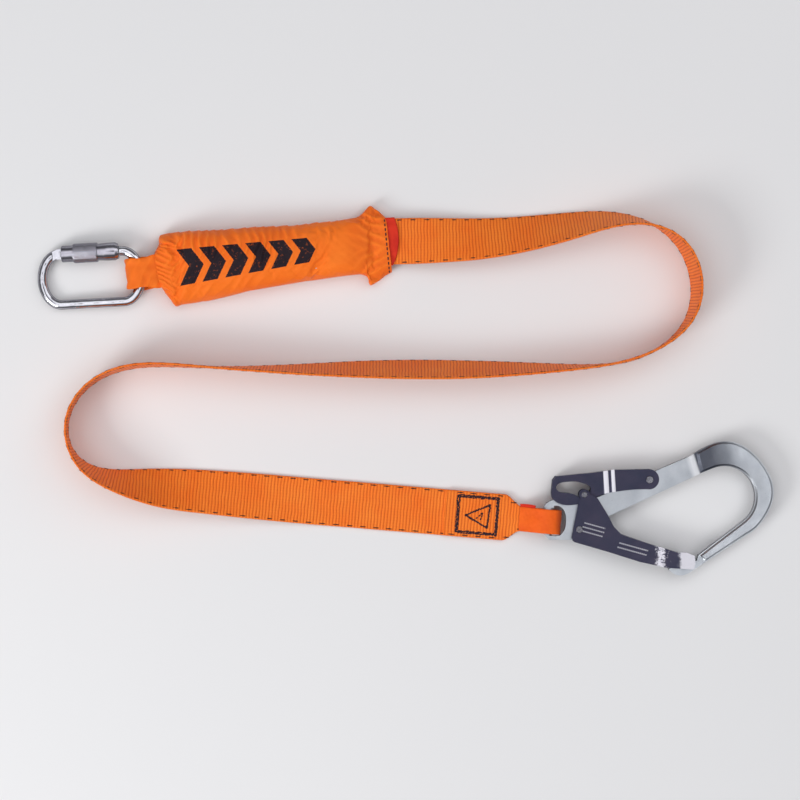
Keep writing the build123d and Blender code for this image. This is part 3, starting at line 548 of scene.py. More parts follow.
zinc = metal("zinc_steel", (0.70, 0.70, 0.74, 1), (0.48, 0.48, 0.53, 1), roughness=0.13,
             wear=0.12, broad=0.0012, broad_scale=70, fine=0.4, edge=0.8)
rivet_steel = metal("rivet_steel", (0.62, 0.62, 0.67, 1), (0.42, 0.42, 0.48, 1), roughness=0.2,
                    wear=0.15, broad=0.0002, broad_scale=150, fine=0.6, edge=0.85)
knurl_steel = metal("knurled_steel", (0.50, 0.49, 0.54, 1), (0.30, 0.29, 0.34, 1),
                    roughness=0.17, wear=0.15, fine=0.5, edge=0.7)
forged = metal("forged_alloy", (0.69, 0.725, 0.76, 1), (0.57, 0.61, 0.66, 1), roughness=0.30,
               wear=0.12, broad=0.0016, broad_scale=22, fine=1.0, edge=0.8)
black_plate = metal("black_plate", (0.090, 0.082, 0.135, 1), (0.055, 0.062, 0.110, 1),
                    roughness=0.2, wear=0.1, coat=0.25, metallic=BLACK_METALLIC,
                    broad=0.0006, broad_scale=24, fine=0.3, edge=0.6)
spring_steel = metal("spring_steel", (0.45, 0.46, 0.48, 1), (0.30, 0.31, 0.33, 1),
                     roughness=0.3)

HOOK_RIVETS = ("hook_gate_rivet", "hook_lock_pin", "hook_lever_rivet")
PAINT = (
    (zinc, ("carabiner_body", "carabiner_gate", "carabiner_gate_rivet")),
    (rivet_steel, HOOK_RIVETS),
    (knurl_steel, ("carabiner_lock_sleeve",)),
    (spring_steel, ("carabiner_plunger", "carabiner_gate_spring", "carabiner_sleeve_spring",
                    "carabiner_stop_pin", "hook_gate_spacers", "hook_gate_spring",
                    "hook_lever_spring")),
    (forged, ("hook_body",)),
    (black_plate, ("hook_gate", "hook_lock_lever")),
)


def paint(part, shader):
    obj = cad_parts[part]
    if not obj.material_slots:
        obj.data.materials.append(shader.material)
    for slot in obj.material_slots:
        slot.material = shader.material


for part_shader, parts in PAINT:
    for part_name in parts:
        paint(part_name, part_shader)

# ---------------------------------------------------------------- main webbing
WEB_STEP = 0.42
EYE_HALF = 12.2             # half width where the webbing is narrowed at the eye
LEAD_LENGTH = 50            # webbing hidden inside the pack
PACK_LIFT, LIFT_LENGTH = 8.0, 140.0

end_dir = heading_dir(END_YAW)
end_side = right_of(end_dir)
end_origin = np.array([*STATIONS[-1][:2], 0]) + end_side * WEB_HALF
start_dir = heading_dir(STATIONS[0][2])

eye_lower = hermite((62, LOW_Z), (EYE_U, EYE_Z - EYE_BEND), (1, 0), (1, 0), 60)
eye_arc = arc((EYE_U, EYE_Z), EYE_BEND, -90, 90, 60)


def eye_upper(count):
    return hermite((EYE_U, EYE_Z + EYE_BEND), (64, HIGH_Z), (-1, 0), (-1, 0), count)


def end_point(u, z, v=0.0):
    return end_origin + end_dir * u + end_side * v + np.array([0, 0, z])


def station_run():
    """Centre line and width directions through the stations."""
    table = np.array(STATIONS)
    i = np.linspace(0, len(STATIONS) - 1, 6000)
    x, y, heading, lean = (spline(np.arange(len(STATIONS)), column, i) for column in table.T)
    lift = ease(np.maximum(0.0, 1 - i * STATION_PITCH / LIFT_LENGTH))
    z = (PACK_LIFT * lift + FLOOR_GAP + 0.25 * fall(i, 9, 2)
         + WEB_THICK / 2 * np.abs(np.cos(np.radians(lean))))
    h, p = np.radians(heading), np.radians(lean)
    widths = np.stack([np.sin(h) * np.cos(p), -np.cos(h) * np.cos(p), np.sin(p)], 1)
    return np.stack([x, y, z], 1) + widths * WEB_HALF, widths


run_centres, run_widths = station_run()


def webbing_path():
    """Whole run in even steps: centres, width directions, distance, and u at the hook end."""
    turn_uz = join([(0, LOW_Z), (62, LOW_Z)], eye_lower, eye_arc, eye_upper(60),
                   [(64, HIGH_Z), (0.0, HIGH_Z)])
    turn_uz, _ = resample(turn_uz, 0.3)
    turn_uz = turn_uz[1:]
    turn = np.array([end_point(u, z) for u, z in turn_uz])
    lead = np.array([run_centres[0] - start_dir * d for d in np.linspace(LEAD_LENGTH, 0.5, 60)])
    centres = np.concatenate([lead, run_centres, turn])
    widths = np.concatenate([np.tile(run_widths[0], (len(lead), 1)), run_widths,
                             np.tile(end_side, (len(turn), 1))])
    turn_u = np.r_[np.full(len(lead) + len(run_centres), -1.0), turn_uz[:, 0]]
    packed = np.concatenate([centres, widths, turn_u[:, None]], 1)
    raw = lengths_along(centres)
    keep = np.r_[True, np.diff(raw) > 1e-6]
    raw, packed = raw[keep], packed[keep]
    s = np.arange(0, raw[-1], WEB_STEP)
    packed = np.stack([np.interp(s, raw, column) for column in packed.T], 1)
    return packed[:, :3], unit(packed[:, 3:6]), s, packed[:, 6]


def build_webbing():
    centres, widths, distance, turn_u = webbing_path()
    half_width = WEB_HALF - ease(rise(turn_u, 58.5, 18.0)) * (WEB_HALF - EYE_HALF)
    half_thick = WEB_THICK / 2 - 0.10

    def ribs(i, v):
        """Cross ribs with a slight wander, flatter at the selvedges."""
        s = distance[i.astype(int)]
        y = v * WEB_HALF
        phase = math.pi * s / RIB_PITCH + 0.22 * ripple(s, y, 0.05, 5) + 0.10 * np.sin(v * 9)
        rib = np.abs(np.cos(phase)) ** 0.8
        selvedge = clamp((1 - np.abs(v)) * WEB_HALF / 2.4)
        fine = 0.05 * np.sin(y * 2 * math.pi / 1.9)
        return (0.50 * rib - 0.26) * (0.35 + 0.65 * selvedge) + fine * rib

    tangents, widths, normals = ribbon(
        "ribbed_webbing", centres, widths, half_width, half_thick, 41,
        web_cloth, "main_webbing", ribs, ribs)

    # tracer threads on both faces, near both edges
    pitch, inset = 13.5, 1.9
    stitches = []
    for side in (-1, 1):
        for face in (-1, 1):
            s = 4.0 + (0 if side < 0 else 5.5)
            while s < distance[-1] - 4:
                i = int(s / WEB_STEP)
                centre = (centres[i] + widths[i] * side * (half_width[i] - inset)
                          + normals[i] * face * (half_thick * 0.98 + 0.10))
                stitches.append((centre, tangents[i], normals[i] * face))
                s += pitch * (1 + 0.03 * math.sin(s))
    threads("tracer_threads", stitches, 6.2, 0.62, tracer_thread, flat=0.5)


build_webbing()


# ---------------------------------------------------------------- hook eye
def build_eye_sleeve():
    """Cloth sleeve over the outside of the eye, shaded towards the hook."""
    offset = WEB_THICK / 2 + 0.75
    path, distance = resample(join(eye_lower[46:], eye_arc, eye_upper(60)[:42]), CLOTH_STEP)
    centres = np.array([end_point(u, z) for u, z in path])
    # these normals point into the eye
    normals = np.cross(end_side, unit(np.gradient(centres, axis=0)))
    bulge = clamp((path[:, 0] - (EYE_U - 1)) / (EYE_BEND + 1)) ** 1.5
    centres = centres - normals * offset + (end_dir * 3.0) * bulge[:, None]

    def wrinkles(i, v):
        s = i * CLOTH_STEP
        return 0.30 * ripple(s, v * 13, 0.06, 21) + 0.12 * ripple(s, v * 13, 0.2, 22)

    ribbon("eye_wear_sleeve", centres, end_side, 12.0 + 0.2 * np.sin(distance / 9.0), 0.5, 25,
           sleeve_cloth, "hook_loop_sleeve",
           bottom=wrinkles, edge_thickness=0.8)
    shade_start, shade_slope = 149.6 * MM, 110
    x = sleeve_cloth.position()[0]
    shade = sleeve_cloth.ramp((x - shade_start) * shade_slope, (0.0, 0), (1.0, 1))
    sleeve_cloth.tint(shade * 0.85, srgb(96, 40, 38))


def build_eye_liner():
    """Red sliver along the +Y edge of the sleeve."""
    us = np.linspace(74.5, 89, 30)
    leg = eye_upper(80)[::-1]
    zs = np.interp(us, leg[:, 0], leg[:, 1])
    centres = np.array([end_point(u, z + 1.6, -13.2 - 0.5 * math.sin((u - 74) / 14.5 * 3.1))
                        for u, z in zip(us, zs)])
    ribbon("eye_liner", centres, end_side, 1.7, 0.5, 7, red_cloth,
           "hook_loop_liner", edge_thickness=0.6)


def stitch_run(path, pitch, scatter):
    """Yield scattered stitch places and directions along straight legs."""
    for a, b in zip(path[:-1], path[1:]):
        a, b = np.array(a, float), np.array(b, float)
        length = np.linalg.norm(b - a)
        direction = (b - a) / length
        count = max(1, int(length / pitch))
        for k in range(count):
            along = (k + 0.5) / count * length
            yield a + direction * along + rng.normal(0, scatter, 2), direction


def build_box_stitch():
    """Three nested rectangles, then zigzags inside them, as (u, v) paths."""
    runs = []
    for half, u0, u1 in ((18.8, 11.9, 53.1), (17.9, 12.9, 52.2), (17.0, 13.9, 51.3)):
        box = [(u0, -half), (u1, -half), (u1, half), (u0, half), (u0, -half)]
        runs.append((box, 2.35, 0.28))
    for path in ([(20, 1), (45, -11.8), (43.4, 12.6), (20, 1)],
                 [(21.4, 1), (44.4, -10.6), (42.7, 11.6), (21.4, 1)],
                 [(31, 4), (38, -3), (36, 5)]):
        runs.append((path, 2.6, 0.15))
    z = HIGH_Z + WEB_THICK / 2 + 0.12
    stitches = []
    for path, pitch, scatter in runs:
        for (u, v), (du, dv) in stitch_run(path, pitch, scatter):
            stitches.append((end_point(u, z, v), end_dir * du + end_side * dv,
                             np.array([0, 0, 1.0])))
    threads("box_stitch_threads", stitches, 2.5, 0.68, black_thread, "hook_box_stitching")


build_eye_sleeve()
build_eye_liner()
build_box_stitch()

# ---------------------------------------------------------------- absorber pack: bands
LOOP_LEG_LOW, LOOP_LEG_HIGH = 9.4, 14.7

pack_dir = heading_dir(PACK_YAW)
pack_side = -right_of(pack_dir)
loop_lower = hermite((44, LOOP_LEG_LOW), (0, LOOP_Z - LOOP_BEND), (-1, 0), (-1, -0.08), 60)
loop_arc = arc((0, LOOP_Z), LOOP_BEND, 270, 90, 80)
loop_upper = hermite((0, LOOP_Z + LOOP_BEND), (44, LOOP_LEG_HIGH), (1, -0.08), (1, 0), 60)


def pack_point(u, v, z):
    return PACK_ORIGIN + pack_dir * u + pack_side * v + np.array([0, 0, z])


def s_bend(start, end):
    return hermite(start, end, (1, 0), (1, 0), 20)


def band(name, path, half, thick, material, replaced, v=0.0):
    """Ribbed band along a (u, z) path in the pack."""
    path, _ = resample(path, CLOTH_STEP)
    centres = np.array([pack_point(u, v, z) for u, z in path])

    def ribs(i, _):
        return 0.22 * np.abs(np.cos(math.pi * i * CLOTH_STEP / RIB_PITCH)) - 0.11

    ribbon(name, centres, -pack_side, half, thick / 2 - 0.1, 21, material,
           replaced, ribs, ribs, edge_thickness=0.7)


def tear_path():
    """Seven flat layers folded back and forth, with a tail at each end."""
    left, right, first_z, layers, pitch = 92, 176, 5.2, 7, 3.1
    bend = pitch / 2
    parts = [[(62, LOOP_Z), (80, LOOP_Z)], s_bend((80, LOOP_Z), (left, first_z))]
    for k in range(layers):
        z = first_z + pitch * k
        start, end = (left, right) if k % 2 == 0 else (right, left)
        parts.append([(start, z), (end, z)])
        if k < layers - 1:
            parts.append(arc((end, z + bend), bend, -90 if k % 2 == 0 else 270, 90, 9))
    parts += [s_bend((right, 23.8), (198, 11.9)), [(198, 11.9), (220, 11.9)]]
    return join(*parts)


def build_bands():
    loop = join([(76, LOOP_LEG_LOW), (44, LOOP_LEG_LOW)], loop_lower, loop_arc, loop_upper,
                [(44, LOOP_LEG_HIGH), (84, LOOP_LEG_HIGH)])
    band("loop_webbing", loop, 14, WEB_THICK, web_cloth,
         "carabiner_loop_webbing")
    band("folded_tear_webbing", tear_path(), 17.5, 2.0, white_cloth,
         "tear_webbing", v=2.6)
    backup = join([(62, 7.5), (76, 7.5)], s_bend((76, 7.5), (90, 2.6)),
                  [(90, 2.6), (182, 2.6)], s_bend((182, 2.6), (198, 7.1)),
                  [(198, 7.1), (220, 7.1)])
    band("folded_backup_webbing", backup, 17.5, 1.2, white_cloth,
         "backup_webbing", v=2.6)


def build_bar_tacks():
    """Five rows of threads across each end of the folded stack."""
    row_pitch, pitch = 3.6, 2.4
    stitches = []
    for u, v_mid, z, half in ((73, 0, 16.1, 12), (211, 2, 13.2, 15)):
        for k in range(-2, 3):
            for v in np.arange(-half, half, pitch):
                stitches.append((pack_point(u + k * row_pitch, v_mid + v + pitch / 2, z),
                                 pack_side, np.array([0, 0, 1.0])))
    threads("bar_tack_threads", stitches, 2.2, 0.5, black_thread, "absorber_bar_tacks")


def build_loop_sleeve():
    """Gathered cloth over the outside of the carabiner loop."""
    offset = WEB_THICK / 2 + 0.8
    path, q = resample(join(loop_lower[18:], loop_arc, loop_upper[:43]), CLOTH_STEP)
    centres = np.array([pack_point(u, -0.6, z) for u, z in path])
    # these normals point out of the loop
    normals = np.cross(-pack_side, unit(np.gradient(centres, axis=0)))

    def gathers(i, v):
        s = i * CLOTH_STEP
        slant = s * 0.9 + v * 15 * 0.6
        fold = crease(slant * math.pi / 8.5 + 1.2 * ripple(s, v * 15, 0.03, 31))
        return fold * (0.45 + 0.55 * np.abs(v)) + 0.45 * ripple(s, v * 15, 0.07, 33)

    half_width = 15.4 + 0.9 * np.sin(q / 11.0) + 0.8 * np.sin(q / 4.1 + 1)
    ribbon("loop_cloth_sleeve", centres + normals * offset, -pack_side, half_width, 0.5, 33,
           cover_cloth, "carabiner_loop_sleeve",
           top=gathers, edge_thickness=0.8)


build_bands()
build_bar_tacks()
build_loop_sleeve()

# ---------------------------------------------------------------- absorber pack: cover
COVER_ROWS, COVER_ACROSS = 260, 74
SIM_ROWS, SIM_ACROSS, SIM_FRAMES = 120, 74, 20
SIM_LIMIT = 2.3             # most that the cloth step may move a point
LINING_ROWS, LINING_GAP = 22, 0.9


def outline(points, count):
    """Evenly spaced outline points, smoothed but for the ends."""
    points = np.array(points, float)
    s = lengths_along(points)
    x = np.linspace(0, 1, count) * s[-1]
    out = np.stack([np.interp(x, s, points[:, 0]), np.interp(x, s, points[:, 1])], 1)
    weights = np.array([1, 2, 3, 2, 1.0]) / 9
    padded = np.pad(out, ((2, 2), (0, 0)), mode="edge")
    smooth = sum(padded[i:i + len(out)] * weights[i] for i in range(5))
    smooth[0], smooth[-1] = out[0], out[-1]
    return smooth


def cover_folds(u, v, share):
    """Fold height in mm, and groove depth 0..1; share runs 0..1 from the -Y edge."""
    def waver(frequency, seed):
        return ripple(u, v, frequency, seed)

    # slanted folds over the middle, stronger towards +Y
    slant = u - 0.55 * v + 0.018 * (v - 6) ** 2
    phase = slant / 8.6 * math.pi + 1.7 * waver(0.010, 41) + 0.7 * waver(0.035, 42)
    slanted = crease(phase, 0.8) * np.clip(0.75 + 0.6 * waver(0.02, 61), 0.15, 1.3)
    upper = clamp((share - 0.16) * 1.9) * rise(u, 22, 14) * fall(u, 205, 60)
    # wider folds along the -Y side
    lower = 0.30 * clamp((0.45 - share) * 3) * rise(u, 40, 20) * fall(u, 200, 40)
    wide = crease((u * 0.9 - v * 0.8) / 11.5 * math.pi + 1.2 * waver(0.02, 43), 0.8)
    # tight pleats at the neck
    neck = fall(u, 44, 22)
    pleats = crease((v * 1.0 + (u - 10) * 0.55) / 5.2 * math.pi + waver(0.03, 47))
    # pleats fanning out at the hem
    hem = rise(u, 205, 18)
    fans = crease((u * 0.45 + np.abs(v) * 0.9) / 8.5 * math.pi + 0.8 * waver(0.03, 48), 0.8)

    soft = 0.9 * waver(0.014, 44) + 0.45 * waver(0.035, 45) + 0.16 * waver(0.10, 46)
    height = (3.3 * slanted * upper + 2.8 * wide * lower + 0.85 * soft
              + 1.7 * pleats * neck + 1.5 * fans * hem * (0.35 + 0.65 * np.abs(2 * share - 1)))
    folded = slanted * upper + 0.8 * wide * lower + pleats * neck + 0.8 * fans * hem
    return height, clamp(1 - folded / 0.8) * clamp(upper + lower + neck + hem)


def cover_shape():
    """Closed rings from neck to hem (+Y-facing order: top sheet, bottom sheet), and the fold
    depths (dips) that set the painted shade.
    """
    top_line = outline(COVER_TOP, COVER_ROWS)
    bottom_line = outline(COVER_BOTTOM, COVER_ROWS)
    # points crowd towards the edges so that the rolled edge is round
    even = np.linspace(0, 1, COVER_ACROSS)
    share = 0.5 * even + 0.5 * (0.5 - 0.5 * np.cos(even * math.pi))
    across = 2 * share - 1
    xy = (bottom_line[:, None, :] * (1 - share)[None, :, None]
          + top_line[:, None, :] * share[None, :, None])
    relative = xy - PACK_ORIGIN[:2]
    u = relative @ pack_dir[:2]
    v = relative @ pack_side[:2]

    crown_u, crown_z = zip(*COVER_CROWN)
    crown = spline(crown_u, crown_z, u.ravel()).reshape(u.shape)
    edge = np.clip(1 - np.abs(across) ** 4.6, 0, 1) ** 0.46
    edge_z = 5.5 + 3.0 * fall(u, 40, 30)
    top_z = edge_z + (crown - edge_z) * edge[None, :]
    bottom_z = edge_z - (edge_z - 0.35) * clamp(1 - np.abs(across) ** 5)[None, :] ** 0.6
    height, groove_shade = cover_folds(u, v, share[None, :])
    top_z = top_z + (height - 0.7) * clamp(edge[None, :] * 1.6)
    bottom_z = np.maximum(bottom_z + 0.15 * ripple(u, v, 0.03, 49), 0.12)

    # scalloped +Y edge where the tube is gathered
    saw = (u / 9.4 + 0.35 * ripple(u, u * 0, 0.02, 50)) % 1.0
    scallop = (0.95 * (saw ** 1.5) * (clamp(across)[None, :] ** 5)
               * rise(u, 30, 20) * fall(u, 212, 25))
    xy = xy + (np.sign(across)[None, :] * scallop)[..., None] * pack_side[:2]
    top = np.concatenate([xy, top_z[..., None]], 2)
    bottom = np.concatenate([xy, bottom_z[..., None]], 2)
    ring = np.concatenate([top, bottom[:, ::-1][:, 1:-1]], 1)
    # the bottom sheet's folds get 0.4 of the painted shade
    return ring, np.concatenate([groove_shade, groove_shade[:, ::-1][:, 1:-1] * 0.4], 1)


def cloth_shift(grid, rows, columns):
    """Inflate a coarse copy of the tube; returns how far each of its points moved, mm."""
    row_at = np.round(np.linspace(0, len(grid) - 1, rows)).astype(int)
    column_at = np.round(np.linspace(0, grid.shape[1], columns, endpoint=False)).astype(int)
    coarse = grid[row_at][:, column_at % grid.shape[1]]
    mesh = bpy.data.meshes.new("cover_sim")
    faces = ring_faces(rows, columns)[:, ::-1]
    mesh.from_pydata((coarse.reshape(-1, 3) * MM).tolist(), [], faces.tolist())
    mesh.update()
    obj = bpy.data.objects.new("cover_sim", mesh)
    scene = bpy.context.scene
    scene.collection.objects.link(obj)
    # both open ends are held
    pins = obj.vertex_groups.new(name="pin")
    total = rows * columns
    held = [*range(4 * columns), *range(total - 5 * columns, total)]
    pins.add(held, 1.0, "REPLACE")

    modifier = obj.modifiers.new("cloth", "CLOTH")
    settings = modifier.settings
    settings.quality = 8
    settings.mass = 0.15
    settings.tension_stiffness = settings.compression_stiffness = 12
    settings.shear_stiffness = 6
    settings.bending_stiffness = 0.02
    settings.tension_damping = settings.compression_damping = 12
    settings.shear_damping = 8
    settings.air_damping = 4
    settings.shrink_min = -0.055
    settings.use_pressure = True
    settings.uniform_pressure_force = 4.0
    settings.vertex_group_mass = "pin"
    settings.effector_weights.gravity = 0.0
    modifier.collision_settings.use_collision = False
    modifier.point_cache.frame_start = 1
    modifier.point_cache.frame_end = SIM_FRAMES
    for number in range(1, SIM_FRAMES + 1):
        scene.frame_set(number)
        bpy.context.view_layer.update()
    result = obj.evaluated_get(bpy.context.evaluated_depsgraph_get())
    out = np.empty(len(result.data.vertices) * 3, np.float32)
    result.data.vertices.foreach_get("co", out)
    out = out.reshape(rows, columns, 3).astype(float) / MM
    scene.frame_set(1)
    bpy.data.objects.remove(obj)
    bpy.data.meshes.remove(mesh)
    return out - coarse


def grow(field, rows, columns):
    """Bilinear upsampling of a (rows, ring) field."""
    r = np.linspace(0, field.shape[0] - 1, rows)
    c = np.linspace(0, field.shape[1], columns, endpoint=False)
    r0 = np.minimum(r.astype(int), field.shape[0] - 2)
    rt = (r - r0)[:, None, None]
    c0 = c.astype(int) % field.shape[1]
    c1 = (c0 + 1) % field.shape[1]
    ct = (c - c.astype(int))[None, :, None]
    a, b = field[r0], field[r0 + 1]
    return (a[:, c0] * (1 - ct) + a[:, c1] * ct) * (1 - rt) + (b[:, c0] * (1 - ct)
                                                               + b[:, c1] * ct) * rt


def inflate(ring):
    """Add the limited cloth shift, fading out towards both open ends."""
    shift = np.nan_to_num(cloth_shift(ring, SIM_ROWS, SIM_ACROSS))
    size = np.linalg.norm(shift, axis=2, keepdims=True)
    shift = shift * np.minimum(1.0, SIM_LIMIT / np.maximum(size, 1e-6))
    rows = np.arange(COVER_ROWS)
    hold = clamp(np.minimum(rows, COVER_ROWS - 1 - rows) / 14.0)[:, None, None]
    ring = ring + grow(shift, len(ring), ring.shape[1]) * hold
    ring[..., 2] = np.maximum(ring[..., 2], 0.15)
    return ring


def print_chevrons(shader):
    """Row of dark chevrons on the upper side, in the pack's own axes (metres)."""
    row_start, row_end, pitch, filled = 0.052, 0.1855, 0.0223, 0.66
    x, y, z = shader.position()
    x0, y0 = PACK_ORIGIN[0] * MM, PACK_ORIGIN[1] * MM
    cos, sin = math.cos(math.radians(PACK_YAW)), math.sin(math.radians(PACK_YAW))
    u = (x - x0) * cos + (y - y0) * sin
    v = (y - y0) * cos - (x - x0) * sin
    # ragged print edge, and a row that drifts towards +v
    u = u + (shader.noise(scale=700, detail=2) - 0.5) * 0.0012
    v = v - (0.0025 + (u - 0.12) * 0.03)
    away = abs(v)
    half_height = 0.0200 - u * 0.046
    skew = u - away * -0.62
    stripe = shader.math("FRACT", (skew - row_start) / pitch) < filled
    inside = (skew > row_start) * (skew < row_end) * (away < half_height)
    mask = stripe * inside * (z > 0.012)
    worn = shader.ramp(shader.noise(scale=260, detail=4, roughness=0.7), (0.26, 0.55), (0.42, 1))
    shader.tint(mask * worn, srgb(34, 22, 30))


def build_cover():
    """Build the cover and return its top sheet."""
    ring, groove_shade = cover_shape()
    ring = inflate(ring)
    # the cloth turns inwards at both open ends
    inside = ring + unit(ring.mean(1, keepdims=True) - ring) * LINING_GAP
    rows = np.concatenate([inside[:LINING_ROWS][::-1], ring, inside[-LINING_ROWS:][::-1]], 0)
    faces = ring_faces(len(rows), rows.shape[1])[:, ::-1]
    obj = make("absorber_cloth_cover", rows.reshape(-1, 3), faces, cover_cloth,
               "absorber_cover")
    set_dip(obj, np.concatenate([groove_shade[:LINING_ROWS][::-1], groove_shade, groove_shade[-LINING_ROWS:][::-1]], 0))
    smooth = obj.modifiers.new("smooth", "SUBSURF")
    smooth.levels = 1
    smooth.render_levels = 1
    print_chevrons(cover_cloth)
    return ring[:, :COVER_ACROSS]


def build_hem_seam(top_sheet):
    """Dark dashed seam just inside the hem."""
    step, margin, pitch = 0.5, 5, 4.9
    line, distance = resample(top_sheet[COVER_ROWS - 4], step)
    stitches = []
    s = 6.0
    while s < distance[-1] - margin:
        i = int(s / step)
        direction = unit(line[min(i + 3, len(line) - 1)] - line[max(i - 3, 0)])
        normal = unit(np.cross(direction, pack_dir))
        if normal[2] <= 0:
            normal = -normal
        stitches.append((line[i] + normal * 0.25, direction, normal))
        s += pitch
    threads("hem_seam_threads", stitches, 3.4, 0.62, black_thread, "cover_seam_stitching")


def build_hem_liner():
    """Red flat tube round the webbing that shows past the hem."""
    rows, sides, thickness = 40, 72, 0.6
    side = right_of(start_dir)

    def liner_point(t, angle):
        c, s = math.cos(angle), math.sin(angle)
        across = 23.9 * math.copysign(abs(c) ** 0.35, c)
        crown = 1 - (across / 24) ** 2
        reach = -30 + t * (31.0 + 5.2 * crown - 0.06 * across)
        z = 2.9 * math.copysign(abs(s) ** 0.55, s)
        z += 0.5 * t * math.sin(across * 0.5 + 2) + 1.1 * t * (1 if s > 0 else 0) * crown
        return run_centres[0] + start_dir * reach + side * across + np.array([0, 0, z])

    angles = np.linspace(0, 2 * math.pi, sides, endpoint=False)
    outer = np.array([[liner_point(k / (rows - 1), a) for a in angles] for k in range(rows)])
    inside = outer + unit(outer.mean(1, keepdims=True) - outer) * thickness
    tube = np.concatenate([outer, inside[::-1]], 0)
    make("red_hem_liner", tube.reshape(-1, 3), ring_faces(len(tube), sides)[:, ::-1],
         red_cloth, "absorber_red_liner")


build_hem_seam(build_cover())
build_hem_liner()


# ---------------------------------------------------------------- knurl on the lock sleeve
def build_knurl():
    """Crossed helical grooves on a tube along the carabiner's own x axis."""
    yaw, pitch, roll = math.radians(3.0), math.radians(3.5), math.radians(4.5)
    origin = np.array([-312.2, 111.85, 9.0])
    axis_offset = 25.25
    start, end, plain_ring = -16.2, 7.8, -4.2
    radius, relief, ridges, helix = 9.32, 0.42, 26, 1.6
    along_count, round_count = 150, 260

    axis = np.array([math.cos(yaw) * math.cos(pitch), math.sin(yaw) * math.cos(pitch),
                     math.sin(pitch)])
    level = np.array([-math.sin(yaw), math.cos(yaw), 0.0])
    side = level * math.cos(roll) + np.cross(axis, level) * math.sin(roll)
    up = np.cross(axis, side)
    x, angle = np.meshgrid(np.linspace(start, end, along_count),
                           np.linspace(0, 2 * math.pi, round_count, endpoint=False),
                           indexing="ij")
    one_way = np.abs(np.sin(angle * ridges / 2 + x * helix))
    other_way = np.abs(np.sin(angle * ridges / 2 - x * helix))
    fade = clamp(np.minimum(x - start, end - x) / 0.8)
    groove = clamp(np.abs(x - plain_ring) / 0.9)
    r = radius + relief * np.minimum(one_way, other_way) ** 0.8 * fade * groove
    spoke = np.cos(angle)[..., None] * side + np.sin(angle)[..., None] * up
    verts = origin + side * axis_offset + x[..., None] * axis + r[..., None] * spoke
    make("sleeve_knurl", verts.reshape(-1, 3), ring_faces(along_count, round_count),
         knurl_steel, body="carabiner_sleeve")


build_knurl()


# ---------------------------------------------------------------- hook surface marks
def mark_gate(shader):
    """Bright band and bright tip at the +X end, two bright strips on the lever's bend and rows
    of plain ticks on the black plates. The band is a painted reflection, the strips are painted
    highlights, and the tip is polished metal brightened further as a painted highlight.
    """
    x, y, _ = shader.position()
    angle = math.radians(-15.5)

    def ticks(x0, y0, length, rows, pitch):
        """Dashed rows from (x0, y0) mm, stepping towards -Y; other lengths in metres."""
        dx, dy = x - x0 * MM, y - y0 * MM
        along = dx * math.cos(angle) + dy * math.sin(angle)
        across = dy * math.cos(angle) - dx * math.sin(angle)
        row = across / -pitch
        in_rows = (row > 0.0) * (row < float(rows))
        bar = shader.math("FRACT", row) < 0.30
        stagger = shader.math("FLOOR", row) * 0.37
        dash = shader.math("FRACT", along / 0.0019 + stagger) > 0.35
        return in_rows * bar * (dash * ((along > 0.0) * (along < length)))

    def strip(start, end, soft=0.0006):
        """Soft-edged strip between two x places in mm, slightly tilted."""
        low = ((x + y * 0.06) - start * MM) * (1 / soft)
        high = (end * MM - (x + y * 0.06)) * (1 / soft)
        limited = [shader.math("MINIMUM", shader.maximum(side, 0.0), 1.0)
                   for side in (low, high)]
        return limited[0] * limited[1]

    marks = shader.maximum(ticks(177.8, -130.9, length=0.022, rows=3, pitch=0.0042),
                           ticks(212.5, -150.8, length=0.030, rows=2, pitch=0.0045))
    # painted highlight: two bright strips on the lever's bend, where its sloped faces catch the
    # light
    painted_bend_highlights = (strip(191.8, 197.2) + strip(199.6, 203.8)) * (y > -108.1 * MM)
    below = y < -127.9 * MM
    marks = marks * below
    fine = (shader.noise(scale=420, detail=5, roughness=0.8) - 0.5) * 0.034
    broad = (shader.noise(scale=120, detail=3, roughness=0.6) - 0.5) * 0.012
    # painted reflection: a bright band with a speckled edge on the sloped joggle before the tip
    painted_joggle_reflection = shader.ramp((x - 252.2 * MM + fine + broad) * 90 + 0.5,
                         (0.30, 0), (0.5, 1), (0.95, 1), (1.0, 0))
    # bright tip: its polished metal cap, brightened further as a painted highlight
    tip = shader.ramp((x - 272.1 * MM + broad) * 120 + 0.5, (0.35, 0), (0.8, 1))
    # the bright mix below holds the painted reflection, the bright tip and the painted
    # highlights on the bends
    wear = shader.maximum(painted_joggle_reflection * 0.8, tip * 0.85) * below
    wear = shader.maximum(wear, painted_bend_highlights * 0.9)
    shader.tint(wear, (0.80, 0.79, 0.84, 1))
    shader.tint(marks * 0.55, (0.80, 0.80, 0.82, 1))
    roughness = shader.linked("Roughness") + shader.maximum(wear, marks) * 0.22
    shader.set({"Metallic": BLACK_METALLIC + wear * 0.45, "Roughness": roughness})


